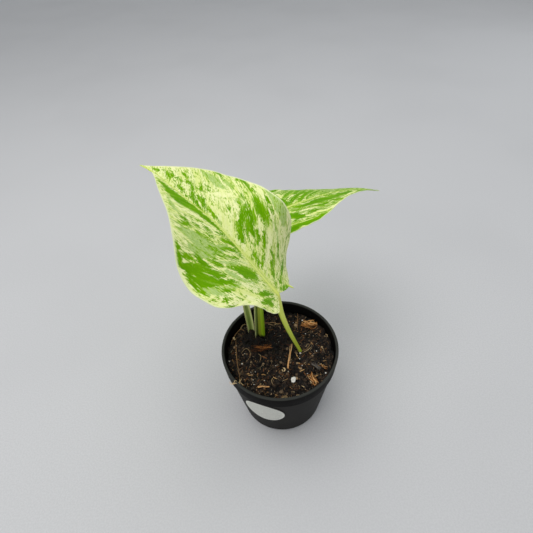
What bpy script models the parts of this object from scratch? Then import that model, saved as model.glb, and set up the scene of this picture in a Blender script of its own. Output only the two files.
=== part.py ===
"""A marble queen pothos with two leaves in a small round nursery pot.

Metres, +Z up. The origin is at the middle of the pot's base, which stands on the ground.
The larger blade points left and back, the smaller one points right behind it.
"""
import math

import bmesh
import bpy
import numpy as np
from mathutils import Vector, noise
from mathutils.bvhtree import BVHTree

# Shared clearances and roundness
GAP = 0.0003
ROUND_STEPS = 56
TUBE_ROUNDNESS = 3
SMOOTH_ANGLE = math.radians(35)
MERGE = 0.00001

# Pot
POT_HEIGHT = 0.0644
RIM_RADIUS = 0.0380
RIM_WIDTH = 0.0018
RIM_EASE = 0.0004
COLLAR_HEIGHT = 0.0107
COLLAR_FOOT_RADIUS = 0.0372
WALL_TOP_RADIUS = 0.0363
WALL_FOOT_RADIUS = 0.0286
FOOT_RADIUS = 0.0279
FOOT_HEIGHT = 0.0020
WALL = 0.0012
FLOOR = 0.0016
FLOOR_FILLET = 0.0030
FILLET_MIDDLE = 0.3
DRAIN_COUNT = 6
DRAIN_RADIUS = 0.0028
DRAIN_SIDES = 16
DRAIN_CIRCLE = 0.0170

# Round label on the wall
LABEL_RADIUS = 0.0135
LABEL_THICKNESS = 0.0004
LABEL_HEIGHT = 0.0380
LABEL_BEARING = -112.7
LABEL_RINGS = 5
LABEL_STEPS = 32

# Soil
SOIL_TOP = 0.0570
SOIL_LUMP = 0.0022
SOIL_CRUMB = 0.0011
SOIL_LUMP_SIZE = 0.0130
SOIL_CRUMB_SIZE = 0.0050
SOIL_RINGS = 14
SOIL_SEED = Vector((3.1, 7.4, 0.6))

# Plain holes for the stems: how many of a stem's steps they follow and how much deeper they go
HOLE_STEPS = 12
HOLE_DEEPER = 0.0005

# Leaves: a blade's outline runs from the notch at its stalk to its tip, as places along
# (in blade lengths) and out (in metres). Fold is a half's rise from the midrib, in degrees,
# and curl is how far it turns in CURL_SPAN. Both are given at even steps from base to tip.
BLADE_THICKNESS = 0.0007
BLADE_ROWS = 36
BLADE_COLUMNS = 7
MIDRIB_STEPS = 60
CURL_SPAN = 0.040
LEAST_CURL = 0.01
VEIN_STARTS = (0.0, 0.005, 0.015, 0.035, 0.07, 0.14, 0.30, 0.58, 0.86, 1.0)
VEIN_SWEEP = 1.3
RIPPLE = 0.0007
RIPPLE_WAVES = 5.5
RIB_END = 0.88
RIB_SINK = 0.5
RIB_STEPS = 22

FRONT_LEAF = {
    "base": (-0.0002, -0.0007, 0.1162),
    "length": 0.1065,
    "heading": (141, 141, 142, 145, 142, 147),
    "climb": (41, 42, 38, 26, 26, 7),
    "roll": (-17, -12, -11),
    "left_fold": (22, 18, 20, 17),
    "left_curl": (-11, -23, 1, -5),
    "right_fold": (-6, 28, 14, 7),
    "right_curl": (-27, 5, -9, -11),
    "left_outline": (
        (0.0, 0.0), (-0.030, 0.006), (-0.050, 0.0160), (-0.002, 0.0235), (0.100, 0.0315),
        (0.210, 0.0455), (0.450, 0.0435), (0.740, 0.0165), (0.910, 0.0020), (1.0, 0.0)),
    "right_outline": (
        (0.0, 0.0), (-0.025, 0.007), (-0.040, 0.0155), (-0.030, 0.0245), (0.050, 0.0425),
        (0.245, 0.039), (0.490, 0.0355), (0.740, 0.027), (0.940, 0.0045), (1.0, 0.0)),
    "ripple_phase": 0.4,
    "rib": (0.0019, 0.0013, 0.0009, 0.0005),
}
REAR_LEAF = {
    "base": (-0.0084, 0.0702, 0.1140),
    "length": 0.0915,
    "heading": (20, 13, 2),
    "climb": (7, 6, -14),
    "roll": (-1, 13, 27),
    "left_fold": (-2, 0, -5, 4),
    "left_curl": (-16, -14, -22, -7),
    "right_fold": (0, 6, 3, 5),
    "right_curl": (-15, -13, -16, -8),
    "left_outline": (
        (0.0, 0.0), (-0.060, 0.005), (-0.080, 0.011), (-0.060, 0.020), (0.060, 0.028),
        (0.235, 0.0335), (0.450, 0.0255), (0.730, 0.0165), (0.930, 0.0025), (1.0, 0.0)),
    "right_outline": (
        (0.0, 0.0), (-0.060, 0.005), (-0.080, 0.011), (-0.060, 0.020), (0.075, 0.024),
        (0.250, 0.028), (0.465, 0.027), (0.730, 0.0115), (0.930, 0.0025), (1.0, 0.0)),
    "ripple_phase": 2.0,
    "rib": (0.0016, 0.0011, 0.0008, 0.0005),
}

# Stalks: routes from their buried ends to the blades, and radii along them
STALK_STEPS = 26
STALK_JOINT = 0.93
JOINT_STEPS = 3
FRONT_STALK_ROUTE = (
    (0.0181, 0.0003, 0.0400), (0.0130, 0.0005, 0.0575), (0.0090, 0.0004, 0.0700),
    (0.0052, 0.0003, 0.0830), (0.0021, 0.0001, 0.0965), (0.0006, -0.0001, 0.1075),
    (-0.0003, -0.0004, 0.1150))
FRONT_STALK_RADII = (0.0010, 0.0012, 0.0015, 0.0018, 0.0019)
REAR_STALK_ROUTE = (
    (-0.0120, 0.0140, 0.0400), (-0.0115, 0.0150, 0.0570), (-0.0112, 0.0172, 0.0690),
    (-0.0110, 0.0210, 0.0800), (-0.0107, 0.0280, 0.0895), (-0.0103, 0.0390, 0.0970),
    (-0.0098, 0.0515, 0.1020), (-0.0092, 0.0630, 0.1070), (-0.0087, 0.0694, 0.1130))
REAR_STALK_RADII = (0.0024, 0.0023, 0.0019, 0.0017, 0.0016, 0.0016)

# Pale wing on the left of the rear stalk: its span in parts of the stalk's length, and the
# bearings of its edges, where 0 is left and 90 is towards the front
WING_SPAN = (0.10, 0.50)
WING_BEARINGS = (-85.0, 28.0)
WING_THICKNESS = 0.0006
WING_FLARE = 0.0020
WING_TOP_SPREAD = 0.35
WING_ROWS = 14
WING_COLUMNS = 6

# Free-standing grooved sheath left of the rear stalk
SHEATH_ROUTE = (
    (-0.0180, 0.0172, 0.0440), (-0.0184, 0.0180, 0.0575), (-0.0190, 0.0190, 0.0695),
    (-0.0200, 0.0204, 0.0815), (-0.0212, 0.0222, 0.0905))
SHEATH_WIDTHS = (0.0021, 0.0023, 0.0024, 0.0021, 0.0005)
SHEATH_ARC = 150.0
SHEATH_FACING = -80.0
SHEATH_THICKNESS = 0.0007
SHEATH_ROWS = 16
SHEATH_COLUMNS = 8

# Slots that the wing and the sheath stand in: how far up a piece they reach, how far below
# it in parts of its route, and how much wider they are
SLOT_REACH = 0.5
SLOT_FLOOR = 0.012
SLOT_WIDEN = 1.2

# Loose pieces on the soil: centre x and y, bearing in degrees, length, width and height
CHIPS = {
    "bark_strip": ((-0.0120, 0.0028), 2.0, (0.0155, 0.0044, 0.0018)),
    "wood_chip_rear": ((0.0219, 0.0195), -8.0, (0.0115, 0.0064, 0.0024)),
    "fibrous_chip": ((0.0184, -0.0228), -66.0, (0.0095, 0.0048, 0.0020)),
    "wood_flake": ((0.0268, -0.0142), -35.0, (0.0062, 0.0020, 0.0012)),
    "grey_flake": ((0.0226, -0.0124), -48.0, (0.0080, 0.0032, 0.0010)),
    "dry_chip": ((0.0003, -0.0324), 6.0, (0.0048, 0.0026, 0.0014)),
}
CHIP_CUTS = 3
CHIP_TAPER = 0.45
CHIP_TAPER_MEAN = 0.6
CHIP_SLOPE = 0.35
CHIP_RIDGES = 3.0
CHIP_RIDGE_RISE = 0.16
CHIP_RAGGED = 0.10
CHIP_RAGGED_PITCH = 5.0
CHIP_VARIETY = 900.0
STRAWS = {
    "straw_stick": ((0.0062, -0.0045), 78.0, 0.0185, (0.0007, 0.0003)),
    "front_straw": ((-0.0120, -0.0252), 1.0, 0.0072, (0.0006, 0.0005)),
}
STRAW_SIDES = 8
PERLITE_PLACE = (0.0067, -0.0215)
PERLITE_RADIUS = 0.0017
PERLITE_LUMP = 0.22
PERLITE_LUMP_SIZE = 0.6
PERLITE_SHAPE = Vector((1.0, 1.1, 0.8))
SEAT_PROBES = (1.0, 0.6, 0.2)

COLORS = {
    "pot": (0.020, 0.020, 0.022, 1.0),
    "label": (0.40, 0.40, 0.41, 1.0),
    "soil": (0.045, 0.028, 0.018, 1.0),
    "leaf": (0.36, 0.55, 0.13, 1.0),
    "stalk": (0.38, 0.52, 0.08, 1.0),
    "sheath": (0.45, 0.52, 0.22, 1.0),
    "wood": (0.45, 0.27, 0.13, 1.0),
    "bark": (0.16, 0.07, 0.03, 1.0),
    "straw": (0.62, 0.42, 0.22, 1.0),
    "flake": (0.13, 0.12, 0.11, 1.0),
    "perlite": (0.78, 0.77, 0.74, 1.0),
}


# Scene and helpers

def clear_scene():
    for item in list(bpy.data.objects):
        bpy.data.objects.remove(item, do_unlink=True)


def make_collection(name):
    collection = bpy.data.collections.new(name)
    bpy.context.scene.collection.children.link(collection)
    return collection


def make_material(name, color, roughness):
    material = bpy.data.materials.new(name)
    material.use_nodes = True
    shader = material.node_tree.nodes["Principled BSDF"]
    shader.inputs["Base Color"].default_value = color
    shader.inputs["Roughness"].default_value = roughness
    shader.inputs["Metallic"].default_value = 0.0
    material.diffuse_color = color
    return material


def add_object(name, mesh, collection, color=None, roughness=0.6):
    item = bpy.data.objects.new(name, mesh)
    collection.objects.link(item)
    if color:
        mesh.materials.append(make_material(name, COLORS[color], roughness))
    return item


def as_cutter(item):
    item.hide_render = True
    item.display_type = "WIRE"
    return item


def mesh_from(bm, name):
    bmesh.ops.recalc_face_normals(bm, faces=bm.faces)
    mesh = bpy.data.meshes.new(name)
    bm.to_mesh(mesh)
    bm.free()
    mesh.shade_smooth()
    mesh.set_sharp_from_angle(angle=SMOOTH_ANGLE)
    return mesh


def add_boolean(item, operation, other):
    boolean = item.modifiers.new(operation.lower(), "BOOLEAN")
    boolean.operation = operation
    boolean.object = other
    boolean.solver = "EXACT"
    return boolean


def add_solidify(item, thickness):
    shell = item.modifiers.new("thickness", "SOLIDIFY")
    shell.thickness = thickness
    shell.offset = 0.0
    return shell


def spline(values, t):
    """Smooth curve through evenly spaced values, read at t from 0 to 1."""
    values = np.asarray(values, float)
    last = len(values) - 1
    span = min(int(t * last), last - 1)
    f = t * last - span
    before, start, end, after = (values[min(max(span + k, 0), last)] for k in (-1, 0, 1, 2))
    bend = 2 * before - 5 * start + 4 * end - after
    snap = 3 * start - before - 3 * end + after
    return 0.5 * (2 * start + (end - before) * f + bend * f ** 2 + snap * f ** 3)


def tube(name, points, radii, collection, color=None):
    """Round tapered tube through the points, as a closed mesh object."""
    widest = max(radii)
    curve = bpy.data.curves.new(name, "CURVE")
    curve.dimensions = "3D"
    curve.bevel_depth = widest
    curve.bevel_resolution = TUBE_ROUNDNESS
    curve.use_fill_caps = True
    line = curve.splines.new("POLY")
    line.points.add(len(points) - 1)
    for knot, place, radius in zip(line.points, points, radii):
        knot.co = (*place, 1.0)
        knot.radius = radius / widest
    guide = bpy.data.objects.new(name + "_route", curve)
    collection.objects.link(guide)
    evaluated = guide.evaluated_get(bpy.context.evaluated_depsgraph_get())
    mesh = bpy.data.meshes.new_from_object(evaluated)
    bpy.data.objects.remove(guide, do_unlink=True)
    bm = bmesh.new()
    bm.from_mesh(mesh)
    bmesh.ops.remove_doubles(bm, verts=bm.verts, dist=MERGE)
    bpy.data.meshes.remove(mesh)
    return add_object(name, mesh_from(bm, name), collection, color, 0.45)


def turned(name, profile, collection, color, roughness):
    """Solid turned round the Z axis from a profile that starts and ends on the axis."""
    mesh = bpy.data.meshes.new(name)
    points = [(radius, 0.0, height) for radius, height in profile]
    edges = [(k, k + 1) for k in range(len(points) - 1)]
    mesh.from_pydata(points, edges, [])
    item = add_object(name, mesh, collection, color, roughness)
    screw = item.modifiers.new("turn", "SCREW")
    screw.steps = ROUND_STEPS
    screw.render_steps = ROUND_STEPS
    screw.use_merge_vertices = True
    screw.merge_threshold = MERGE
    screw.use_smooth_shade = True
    return item


def baked(item):
    """Swaps an object's mesh for its evaluated one and drops its modifiers."""
    evaluated = item.evaluated_get(bpy.context.evaluated_depsgraph_get())
    mesh = bpy.data.meshes.new_from_object(evaluated)
    item.modifiers.clear()
    item.data = mesh
    return item


# Pot and label

def wall_radius(height):
    """Outer radius of the tapered wall at a height."""
    top = POT_HEIGHT - COLLAR_HEIGHT
    part = (height - FOOT_HEIGHT) / (top - FOOT_HEIGHT)
    return WALL_FOOT_RADIUS + (WALL_TOP_RADIUS - WALL_FOOT_RADIUS) * part


def inner_profile():
    """Inside of the pot from the floor's edge up to the lip."""
    step = POT_HEIGHT - COLLAR_HEIGHT
    lip = RIM_RADIUS - RIM_WIDTH
    floor_edge = wall_radius(FLOOR + FLOOR_FILLET) - WALL
    return [
        (floor_edge - FLOOR_FILLET, FLOOR),
        (floor_edge - FLOOR_FILLET * FILLET_MIDDLE, FLOOR + FLOOR_FILLET * FILLET_MIDDLE),
        (floor_edge, FLOOR + FLOOR_FILLET),
        (wall_radius(step - WALL) - WALL, step - WALL),
        (COLLAR_FOOT_RADIUS - WALL - RIM_EASE, step + WALL),
        (lip, POT_HEIGHT - RIM_EASE),
    ]


def build_pot(parts, cutters):
    step = POT_HEIGHT - COLLAR_HEIGHT
    lip = RIM_RADIUS - RIM_WIDTH
    profile = [(0.0, FLOOR)] + inner_profile() + [
        (lip + RIM_EASE, POT_HEIGHT),
        (RIM_RADIUS - RIM_EASE, POT_HEIGHT),
        (RIM_RADIUS, POT_HEIGHT - RIM_EASE),
        (COLLAR_FOOT_RADIUS, step + RIM_EASE),
        (COLLAR_FOOT_RADIUS - RIM_EASE, step),
        (WALL_TOP_RADIUS, step),
        (WALL_FOOT_RADIUS, FOOT_HEIGHT),
        (FOOT_RADIUS, FOOT_HEIGHT - RIM_EASE),
        (FOOT_RADIUS, RIM_EASE),
        (FOOT_RADIUS - RIM_EASE, 0.0),
        (0.0, 0.0),
    ]
    pot = turned("pot", profile, parts, "pot", 0.5)
    drill = bmesh.new()
    for hole in range(DRAIN_COUNT):
        angle = 2 * math.pi * hole / DRAIN_COUNT
        spot = Vector((math.cos(angle), math.sin(angle), 0.0)) * DRAIN_CIRCLE
        made = bmesh.ops.create_cone(
            drill, cap_ends=True, segments=DRAIN_SIDES, radius1=DRAIN_RADIUS, radius2=DRAIN_RADIUS,
            depth=FLOOR * 4)
        bmesh.ops.translate(drill, verts=made["verts"], vec=spot)
    cutter = as_cutter(add_object("drain_cutter", mesh_from(drill, "drain_cutter"), cutters))
    add_boolean(pot, "DIFFERENCE", cutter)
    return pot


def build_label(parts):
    """Thin disc laid on the tapered wall."""
    slope = math.atan2(WALL_TOP_RADIUS - WALL_FOOT_RADIUS, POT_HEIGHT - COLLAR_HEIGHT - FOOT_HEIGHT)
    bm = bmesh.new()
    reach = [LABEL_RADIUS * ring / LABEL_RINGS for ring in range(LABEL_RINGS + 1)]
    spokes = [bm.verts.new((radius, 0.0, 0.0)) for radius in reach]
    edges = [bm.edges.new(pair) for pair in zip(spokes, spokes[1:])]
    bmesh.ops.spin(
        bm, geom=spokes + edges, cent=(0.0, 0.0, 0.0), axis=(0.0, 0.0, 1.0), angle=2 * math.pi,
        steps=LABEL_STEPS, use_merge=True)
    bmesh.ops.remove_doubles(bm, verts=bm.verts, dist=MERGE)
    bmesh.ops.triangulate(bm, faces=bm.faces)
    middle = math.radians(LABEL_BEARING)
    for vert in bm.verts:
        height = LABEL_HEIGHT + vert.co.y * math.cos(slope)
        radius = wall_radius(height) + (GAP + LABEL_THICKNESS / 2) / math.cos(slope)
        angle = middle + vert.co.x / radius
        vert.co = (radius * math.cos(angle), radius * math.sin(angle), height)
    label = add_object("pot_label", mesh_from(bm, "pot_label"), parts, "label", 0.7)
    add_solidify(label, LABEL_THICKNESS)
    return label


# Soil

def soil_relief(x, y):
    """Height of the soil's lumps and crumbs above its mean level."""
    place = Vector((x, y, 0.0))
    lump = noise.noise(place / SOIL_LUMP_SIZE + SOIL_SEED)
    crumb = noise.noise(place / SOIL_CRUMB_SIZE + SOIL_SEED * 2)
    return SOIL_LUMP * lump + SOIL_CRUMB * crumb


def collar_inside(height):
    """Inner radius of the collar at a height."""
    low, high = inner_profile()[-2:]
    part = (height - low[1]) / (high[1] - low[1])
    return low[0] + (high[0] - low[0]) * part


def build_soil(parts, cutters, stems, slots):
    """Filling of the pot with a lumpy top and a plain hole for each stem."""
    side = [(radius - GAP, height + GAP) for radius, height in inner_profile()[:-1]]
    edge = collar_inside(SOIL_TOP) - GAP
    top = [(edge * ring / SOIL_RINGS, SOIL_TOP) for ring in range(SOIL_RINGS + 1)]
    profile = top + side[::-1] + [(0.0, FLOOR + GAP)]
    soil = baked(turned("soil", profile, parts, "soil", 0.95))
    bm = bmesh.new()
    bm.from_mesh(soil.data)
    for vert in bm.verts:
        if vert.co.z > SOIL_TOP - MERGE:
            vert.co.z += soil_relief(vert.co.x, vert.co.y)
    bmesh.ops.triangulate(bm, faces=bm.faces)
    bm.to_mesh(soil.data)
    surface = BVHTree.FromBMesh(bm)
    bm.free()
    for name, points, radii in stems:
        hole = tube(name + "_hole", points, [radius + GAP for radius in radii], cutters)
        add_boolean(soil, "DIFFERENCE", as_cutter(hole))
    for slot in slots:
        add_boolean(soil, "DIFFERENCE", slot)
    return soil, surface


# Leaves

def midrib_frames(leaf):
    """Places along the midrib, each with its forward, right and up directions."""
    frames = []
    place = np.array(leaf["base"], float)
    for step in range(MIDRIB_STEPS + 1):
        t = step / MIDRIB_STEPS
        turns = [spline(leaf[name], t) for name in ("heading", "climb", "roll")]
        heading, climb, roll = (math.radians(turn) for turn in turns)
        level = np.array([math.cos(heading), math.sin(heading), 0.0])
        forward = level * math.cos(climb) + np.array([0.0, 0.0, math.sin(climb)])
        flat_right = np.array([level[1], -level[0], 0.0])
        upright = np.cross(flat_right, forward)
        right = flat_right * math.cos(roll) + upright * math.sin(roll)
        frames.append((place, forward, right, np.cross(right, forward)))
        place = place + forward * leaf["length"] / MIDRIB_STEPS
    return frames


def frame_at(frames, t):
    k = min(int(t * MIDRIB_STEPS), MIDRIB_STEPS - 1)
    f = t * MIDRIB_STEPS - k
    return [a * (1 - f) + b * f for a, b in zip(frames[k], frames[k + 1])]


def blade_point(leaf, frames, side, along, out):
    """Bends the flat place (along in blade lengths, out in metres) into the blade's shape."""
    t = min(max(along, 0.0), 1.0)
    place, forward, right, up = frame_at(frames, t)
    fold = math.radians(spline(leaf[side + "_fold"], t))
    curl = math.radians(spline(leaf[side + "_curl"], t)) / CURL_SPAN
    if abs(curl) < LEAST_CURL:
        curl = LEAST_CURL
    across = (math.sin(fold + curl * out) - math.sin(fold)) / curl
    rise = (math.cos(fold) - math.cos(fold + curl * out)) / curl
    back = min(along, 0.0) * leaf["length"]
    return place + forward * back + right * (across if side == "right" else -across) + up * rise


def build_leaf(name, leaf, stalk_points, stalk_radii, parts, cutters):
    """Waved blade on its midrib, with the top of its stalk grown on."""
    frames = midrib_frames(leaf)
    bm = bmesh.new()
    bmesh.ops.create_grid(bm, x_segments=BLADE_ROWS, y_segments=2 * BLADE_COLUMNS, size=0.5)
    for vert in bm.verts:
        row = vert.co.x + 0.5
        side = "left" if vert.co.y > 0 else "right"
        part = abs(vert.co.y) * 2
        start = spline(VEIN_STARTS, row)
        edge_along, edge_out = spline(leaf[side + "_outline"], row)
        along = start + (edge_along - start) * part ** VEIN_SWEEP
        out = max(edge_out, 0.0) * part
        wave = math.sin(2 * math.pi * RIPPLE_WAVES * row + leaf["ripple_phase"])
        lift = frame_at(frames, min(max(along, 0.0), 1.0))[3] * RIPPLE * wave * part ** 3
        taper = math.sin(math.pi * row) ** 2
        vert.co = blade_point(leaf, frames, side, along, out) + lift * taper
    bmesh.ops.remove_doubles(bm, verts=bm.verts, dist=MERGE)
    bmesh.ops.triangulate(bm, faces=bm.faces)
    blade = add_object(name, mesh_from(bm, name), parts, "leaf", 0.4)
    add_solidify(blade, BLADE_THICKNESS)
    points = list(stalk_points)
    radii = list(stalk_radii)
    for step in range(1, RIB_STEPS + 1):
        t = RIB_END * step / RIB_STEPS
        place, _, _, up = frame_at(frames, t)
        radius = float(spline(leaf["rib"], step / RIB_STEPS))
        points.append(place - up * radius * RIB_SINK)
        radii.append(radius)
    rib = as_cutter(tube(name + "_rib", points, radii, cutters))
    add_boolean(blade, "UNION", rib)
    return blade


# Stalks and sheaths

def stalk_path(route, radii, start, end, steps):
    """Points and radii along a stretch of a stalk, given in parts of its length."""
    places = [start + (end - start) * step / steps for step in range(steps + 1)]
    return [tuple(spline(route, t)) for t in places], [float(spline(radii, t)) for t in places]


def build_stalk_and_leaf(stalk, leaf_name, leaf, route, radii, parts, cutters):
    """Stalk up to its joint and the leaf that goes on from there; gives the stalk's hole."""
    points, sizes = stalk_path(route, radii, 0.0, STALK_JOINT, STALK_STEPS)
    tube(stalk, points, sizes, parts, "stalk")
    reach = sum(math.dist(a, b) for a, b in zip(route, route[1:]))
    top_points, top_sizes = stalk_path(route, radii, STALK_JOINT + GAP / reach, 1.0, JOINT_STEPS)
    build_leaf(leaf_name, leaf, top_points, top_sizes, parts, cutters)
    lowest = Vector(points[0])
    down = (lowest - Vector(points[1])).normalized()
    hole = [tuple(lowest + down * HOLE_DEEPER)] + points[1:HOLE_STEPS]
    return stalk, hole, sizes[:HOLE_STEPS]


def cross_frame(route, t):
    """Place on a route with the directions to its left and front, square to its course."""
    middle = spline(route, t)
    ahead = Vector(spline(route, min(t + 0.01, 1.0)) - spline(route, t - 0.01)).normalized()
    left = Vector((-1.0, 0.0, 0.0))
    left = (left - ahead * left.dot(ahead)).normalized()
    return middle, np.array(left), np.array(ahead.cross(left))


def channel_sheet(route, start, end, rows, columns, place_across, widen=1.0):
    """Open sheet along a route; place_across gives each point's angle and distance from it."""
    bm = bmesh.new()
    bmesh.ops.create_grid(bm, x_segments=rows, y_segments=columns, size=0.5)
    for vert in bm.verts:
        row = vert.co.x + 0.5
        t = start + (end - start) * row
        middle, left, front = cross_frame(route, t)
        angle, distance = place_across(t, vert.co.y * widen)
        vert.co = middle + (left * math.cos(angle) + front * math.sin(angle)) * distance
    bmesh.ops.triangulate(bm, faces=bm.faces)
    return bm


def wing_across(t, side):
    """The wing clasps the stalk, flares at its front edge and narrows towards its top."""
    row = min(max((t - WING_SPAN[0]) / (WING_SPAN[1] - WING_SPAN[0]), 0.0), 1.0)
    narrowing = math.cos(math.pi / 2 * row ** 3)
    middle = (WING_BEARINGS[0] + WING_BEARINGS[1]) / 2
    width = WING_TOP_SPREAD + (1.0 - WING_TOP_SPREAD) * narrowing
    spread = (WING_BEARINGS[1] - WING_BEARINGS[0]) * width
    radius = float(spline(REAR_STALK_RADII, t)) + GAP + WING_THICKNESS / 2
    flare = WING_FLARE * narrowing * max(side, 0.0) * 2
    return math.radians(middle + spread * side), radius + flare


def sheath_across(t, side):
    return math.radians(SHEATH_FACING + SHEATH_ARC * side), float(spline(SHEATH_WIDTHS, max(t, 0.0)))


def build_channel(name, route, span, rows, columns, across, thickness, parts, cutters):
    """Thin channel-shaped piece, and the wider cutter for the plain slot that it stands in."""
    sheet = channel_sheet(route, *span, rows, columns, across)
    piece = add_object(name, mesh_from(sheet, name), parts, "sheath", 0.5)
    add_solidify(piece, thickness)
    depth = span[0] + (span[1] - span[0]) * SLOT_REACH
    sheet = channel_sheet(route, span[0] - SLOT_FLOOR, depth, rows, columns, across, SLOT_WIDEN)
    slot = as_cutter(add_object(name + "_slot", mesh_from(sheet, name + "_slot"), cutters))
    add_solidify(slot, thickness + 2 * GAP)
    return slot


# Loose pieces

def seat(item, surface, place, bearing):
    """Turns a loose piece to its bearing and rests it on the highest soil under it."""
    turn = math.radians(bearing)
    lowest = min(vert.co.z for vert in item.data.vertices)
    highest = 0.0
    for vert in item.data.vertices:
        x = place[0] + vert.co.x * math.cos(turn) - vert.co.y * math.sin(turn)
        y = place[1] + vert.co.x * math.sin(turn) + vert.co.y * math.cos(turn)
        for probe in SEAT_PROBES:
            across = place[0] + (x - place[0]) * probe
            back = place[1] + (y - place[1]) * probe
            above = Vector((across, back, POT_HEIGHT))
            hit = surface.ray_cast(above, Vector((0.0, 0.0, -1.0)))[0]
            highest = max(highest, hit.z)
    item.location = (place[0], place[1], highest + GAP - lowest)
    item.rotation_euler = (0.0, 0.0, turn)


def build_chip(name, place, bearing, size, color, parts, surface):
    """Flat splintery chip with ridges along it."""
    bm = bmesh.new()
    bmesh.ops.create_cube(bm, size=1.0)
    bmesh.ops.subdivide_edges(bm, edges=bm.edges, cuts=CHIP_CUTS, use_grid_fill=True)
    for vert in bm.verts:
        along, across, up = vert.co
        end = abs(along) * 2
        waist = noise.noise(Vector((along * 2, 0.0, place[0] * CHIP_VARIETY)))
        narrow = 1.0 - CHIP_TAPER * end * (CHIP_TAPER_MEAN + waist)
        frayed = noise.noise(Vector((across * CHIP_RAGGED_PITCH, up, place[1] * CHIP_VARIETY)))
        if up > 0.0:
            up *= 1.0 - CHIP_SLOPE * end
            up += CHIP_RIDGE_RISE * math.cos(2 * math.pi * CHIP_RIDGES * across) * up
        along += CHIP_RAGGED * frayed * end
        vert.co = (along * size[0], across * narrow * size[1], up * size[2])
    bmesh.ops.triangulate(bm, faces=bm.faces)
    chip = add_object(name, mesh_from(bm, name), parts, color, 0.85)
    seat(chip, surface, place, bearing)
    return chip


def build_straw(name, place, bearing, length, radii, parts, surface):
    bm = bmesh.new()
    bmesh.ops.create_cone(
        bm, cap_ends=True, segments=STRAW_SIDES, radius1=radii[0], radius2=radii[1], depth=length)
    for vert in bm.verts:
        vert.co = (vert.co.z, vert.co.y, vert.co.x)
    straw = add_object(name, mesh_from(bm, name), parts, "straw", 0.7)
    seat(straw, surface, place, bearing)
    return straw


def build_perlite(parts, surface):
    bm = bmesh.new()
    bmesh.ops.create_icosphere(bm, subdivisions=2, radius=PERLITE_RADIUS)
    for vert in bm.verts:
        lump = noise.noise(vert.co / (PERLITE_RADIUS * PERLITE_LUMP_SIZE))
        vert.co = vert.co * PERLITE_SHAPE * (1.0 + PERLITE_LUMP * lump)
    grain = add_object("perlite_grain", mesh_from(bm, "perlite_grain"), parts, "perlite", 0.9)
    seat(grain, surface, PERLITE_PLACE, 0.0)
    return grain


def build_loose_pieces(parts, surface):
    chip_colors = {"bark_strip": "bark", "grey_flake": "flake"}
    for name, (place, bearing, size) in CHIPS.items():
        build_chip(name, place, bearing, size, chip_colors.get(name, "wood"), parts, surface)
    for name, (place, bearing, length, radii) in STRAWS.items():
        build_straw(name, place, bearing, length, radii, parts, surface)
    build_perlite(parts, surface)


def main():
    clear_scene()
    parts = make_collection("marble_queen_pothos")
    cutters = make_collection("cutters")
    build_pot(parts, cutters)
    build_label(parts)
    stems = [
        build_stalk_and_leaf(
            "front_petiole", "front_leaf", FRONT_LEAF, FRONT_STALK_ROUTE, FRONT_STALK_RADII, parts, cutters),
        build_stalk_and_leaf(
            "rear_petiole", "rear_leaf", REAR_LEAF, REAR_STALK_ROUTE, REAR_STALK_RADII, parts, cutters),
    ]
    slots = [
        build_channel(
            "petiole_sheath", REAR_STALK_ROUTE, WING_SPAN, WING_ROWS, WING_COLUMNS, wing_across,
            WING_THICKNESS, parts, cutters),
        build_channel(
            "shoot_sheath", SHEATH_ROUTE, (0.0, 1.0), SHEATH_ROWS, SHEATH_COLUMNS, sheath_across,
            SHEATH_THICKNESS, parts, cutters),
    ]
    soil, surface = build_soil(parts, cutters, stems, slots)
    build_loose_pieces(parts, surface)


main()
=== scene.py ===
"""The looks of a potted marble queen pothos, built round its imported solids.

Metres, +Z up. The origin is at the middle of the pot's base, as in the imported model.
Each solid gets a finer piece of the same form, with its own procedural finish.
"""

import math

import bmesh
import bpy
import numpy as np
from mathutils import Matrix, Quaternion, Vector, noise


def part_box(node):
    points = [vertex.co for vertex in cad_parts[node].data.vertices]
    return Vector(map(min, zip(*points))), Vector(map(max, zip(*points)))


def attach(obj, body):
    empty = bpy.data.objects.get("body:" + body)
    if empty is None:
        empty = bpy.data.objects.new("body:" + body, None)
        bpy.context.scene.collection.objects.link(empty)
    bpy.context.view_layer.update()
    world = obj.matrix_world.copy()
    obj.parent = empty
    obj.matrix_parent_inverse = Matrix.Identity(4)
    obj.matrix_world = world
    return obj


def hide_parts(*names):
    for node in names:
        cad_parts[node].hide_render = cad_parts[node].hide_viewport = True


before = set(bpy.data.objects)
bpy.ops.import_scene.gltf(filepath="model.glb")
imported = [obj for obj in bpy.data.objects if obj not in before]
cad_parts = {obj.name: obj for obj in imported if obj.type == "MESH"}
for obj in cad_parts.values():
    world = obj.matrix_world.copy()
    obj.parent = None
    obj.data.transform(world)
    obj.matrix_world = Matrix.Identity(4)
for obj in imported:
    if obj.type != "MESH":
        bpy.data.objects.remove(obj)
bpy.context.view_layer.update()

# Camera, lights and floor. Each light has its place, diameter, power and colour.
CAMERA_PLACE = (-0.0048, -0.1483, 0.2846)
CAMERA_PITCH = 44.77
CAMERA_ROLL = -4.16
CAMERA_LENS = 27.02
CAMERA_SENSOR = 36.0
CAMERA_NEAR = 0.01
FLOOR_SIZE = 6.0
LIGHTS = {
    "overhead": ((-0.20, 0.05, 0.95), 0.90, 4.8, (1.0, 0.985, 0.96)),
    "front_left": ((-0.75, -0.80, 0.60), 0.90, 2.6, (1.0, 0.98, 0.95)),
    "right_rear": ((0.85, 0.55, 0.55), 0.80, 1.2, (0.94, 0.97, 1.0)),
}
LIGHT_AIM = (0.0, 0.03, 0.08)
SKY = (0.86, 0.88, 0.90)
SKY_STRENGTH = 0.56

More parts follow.
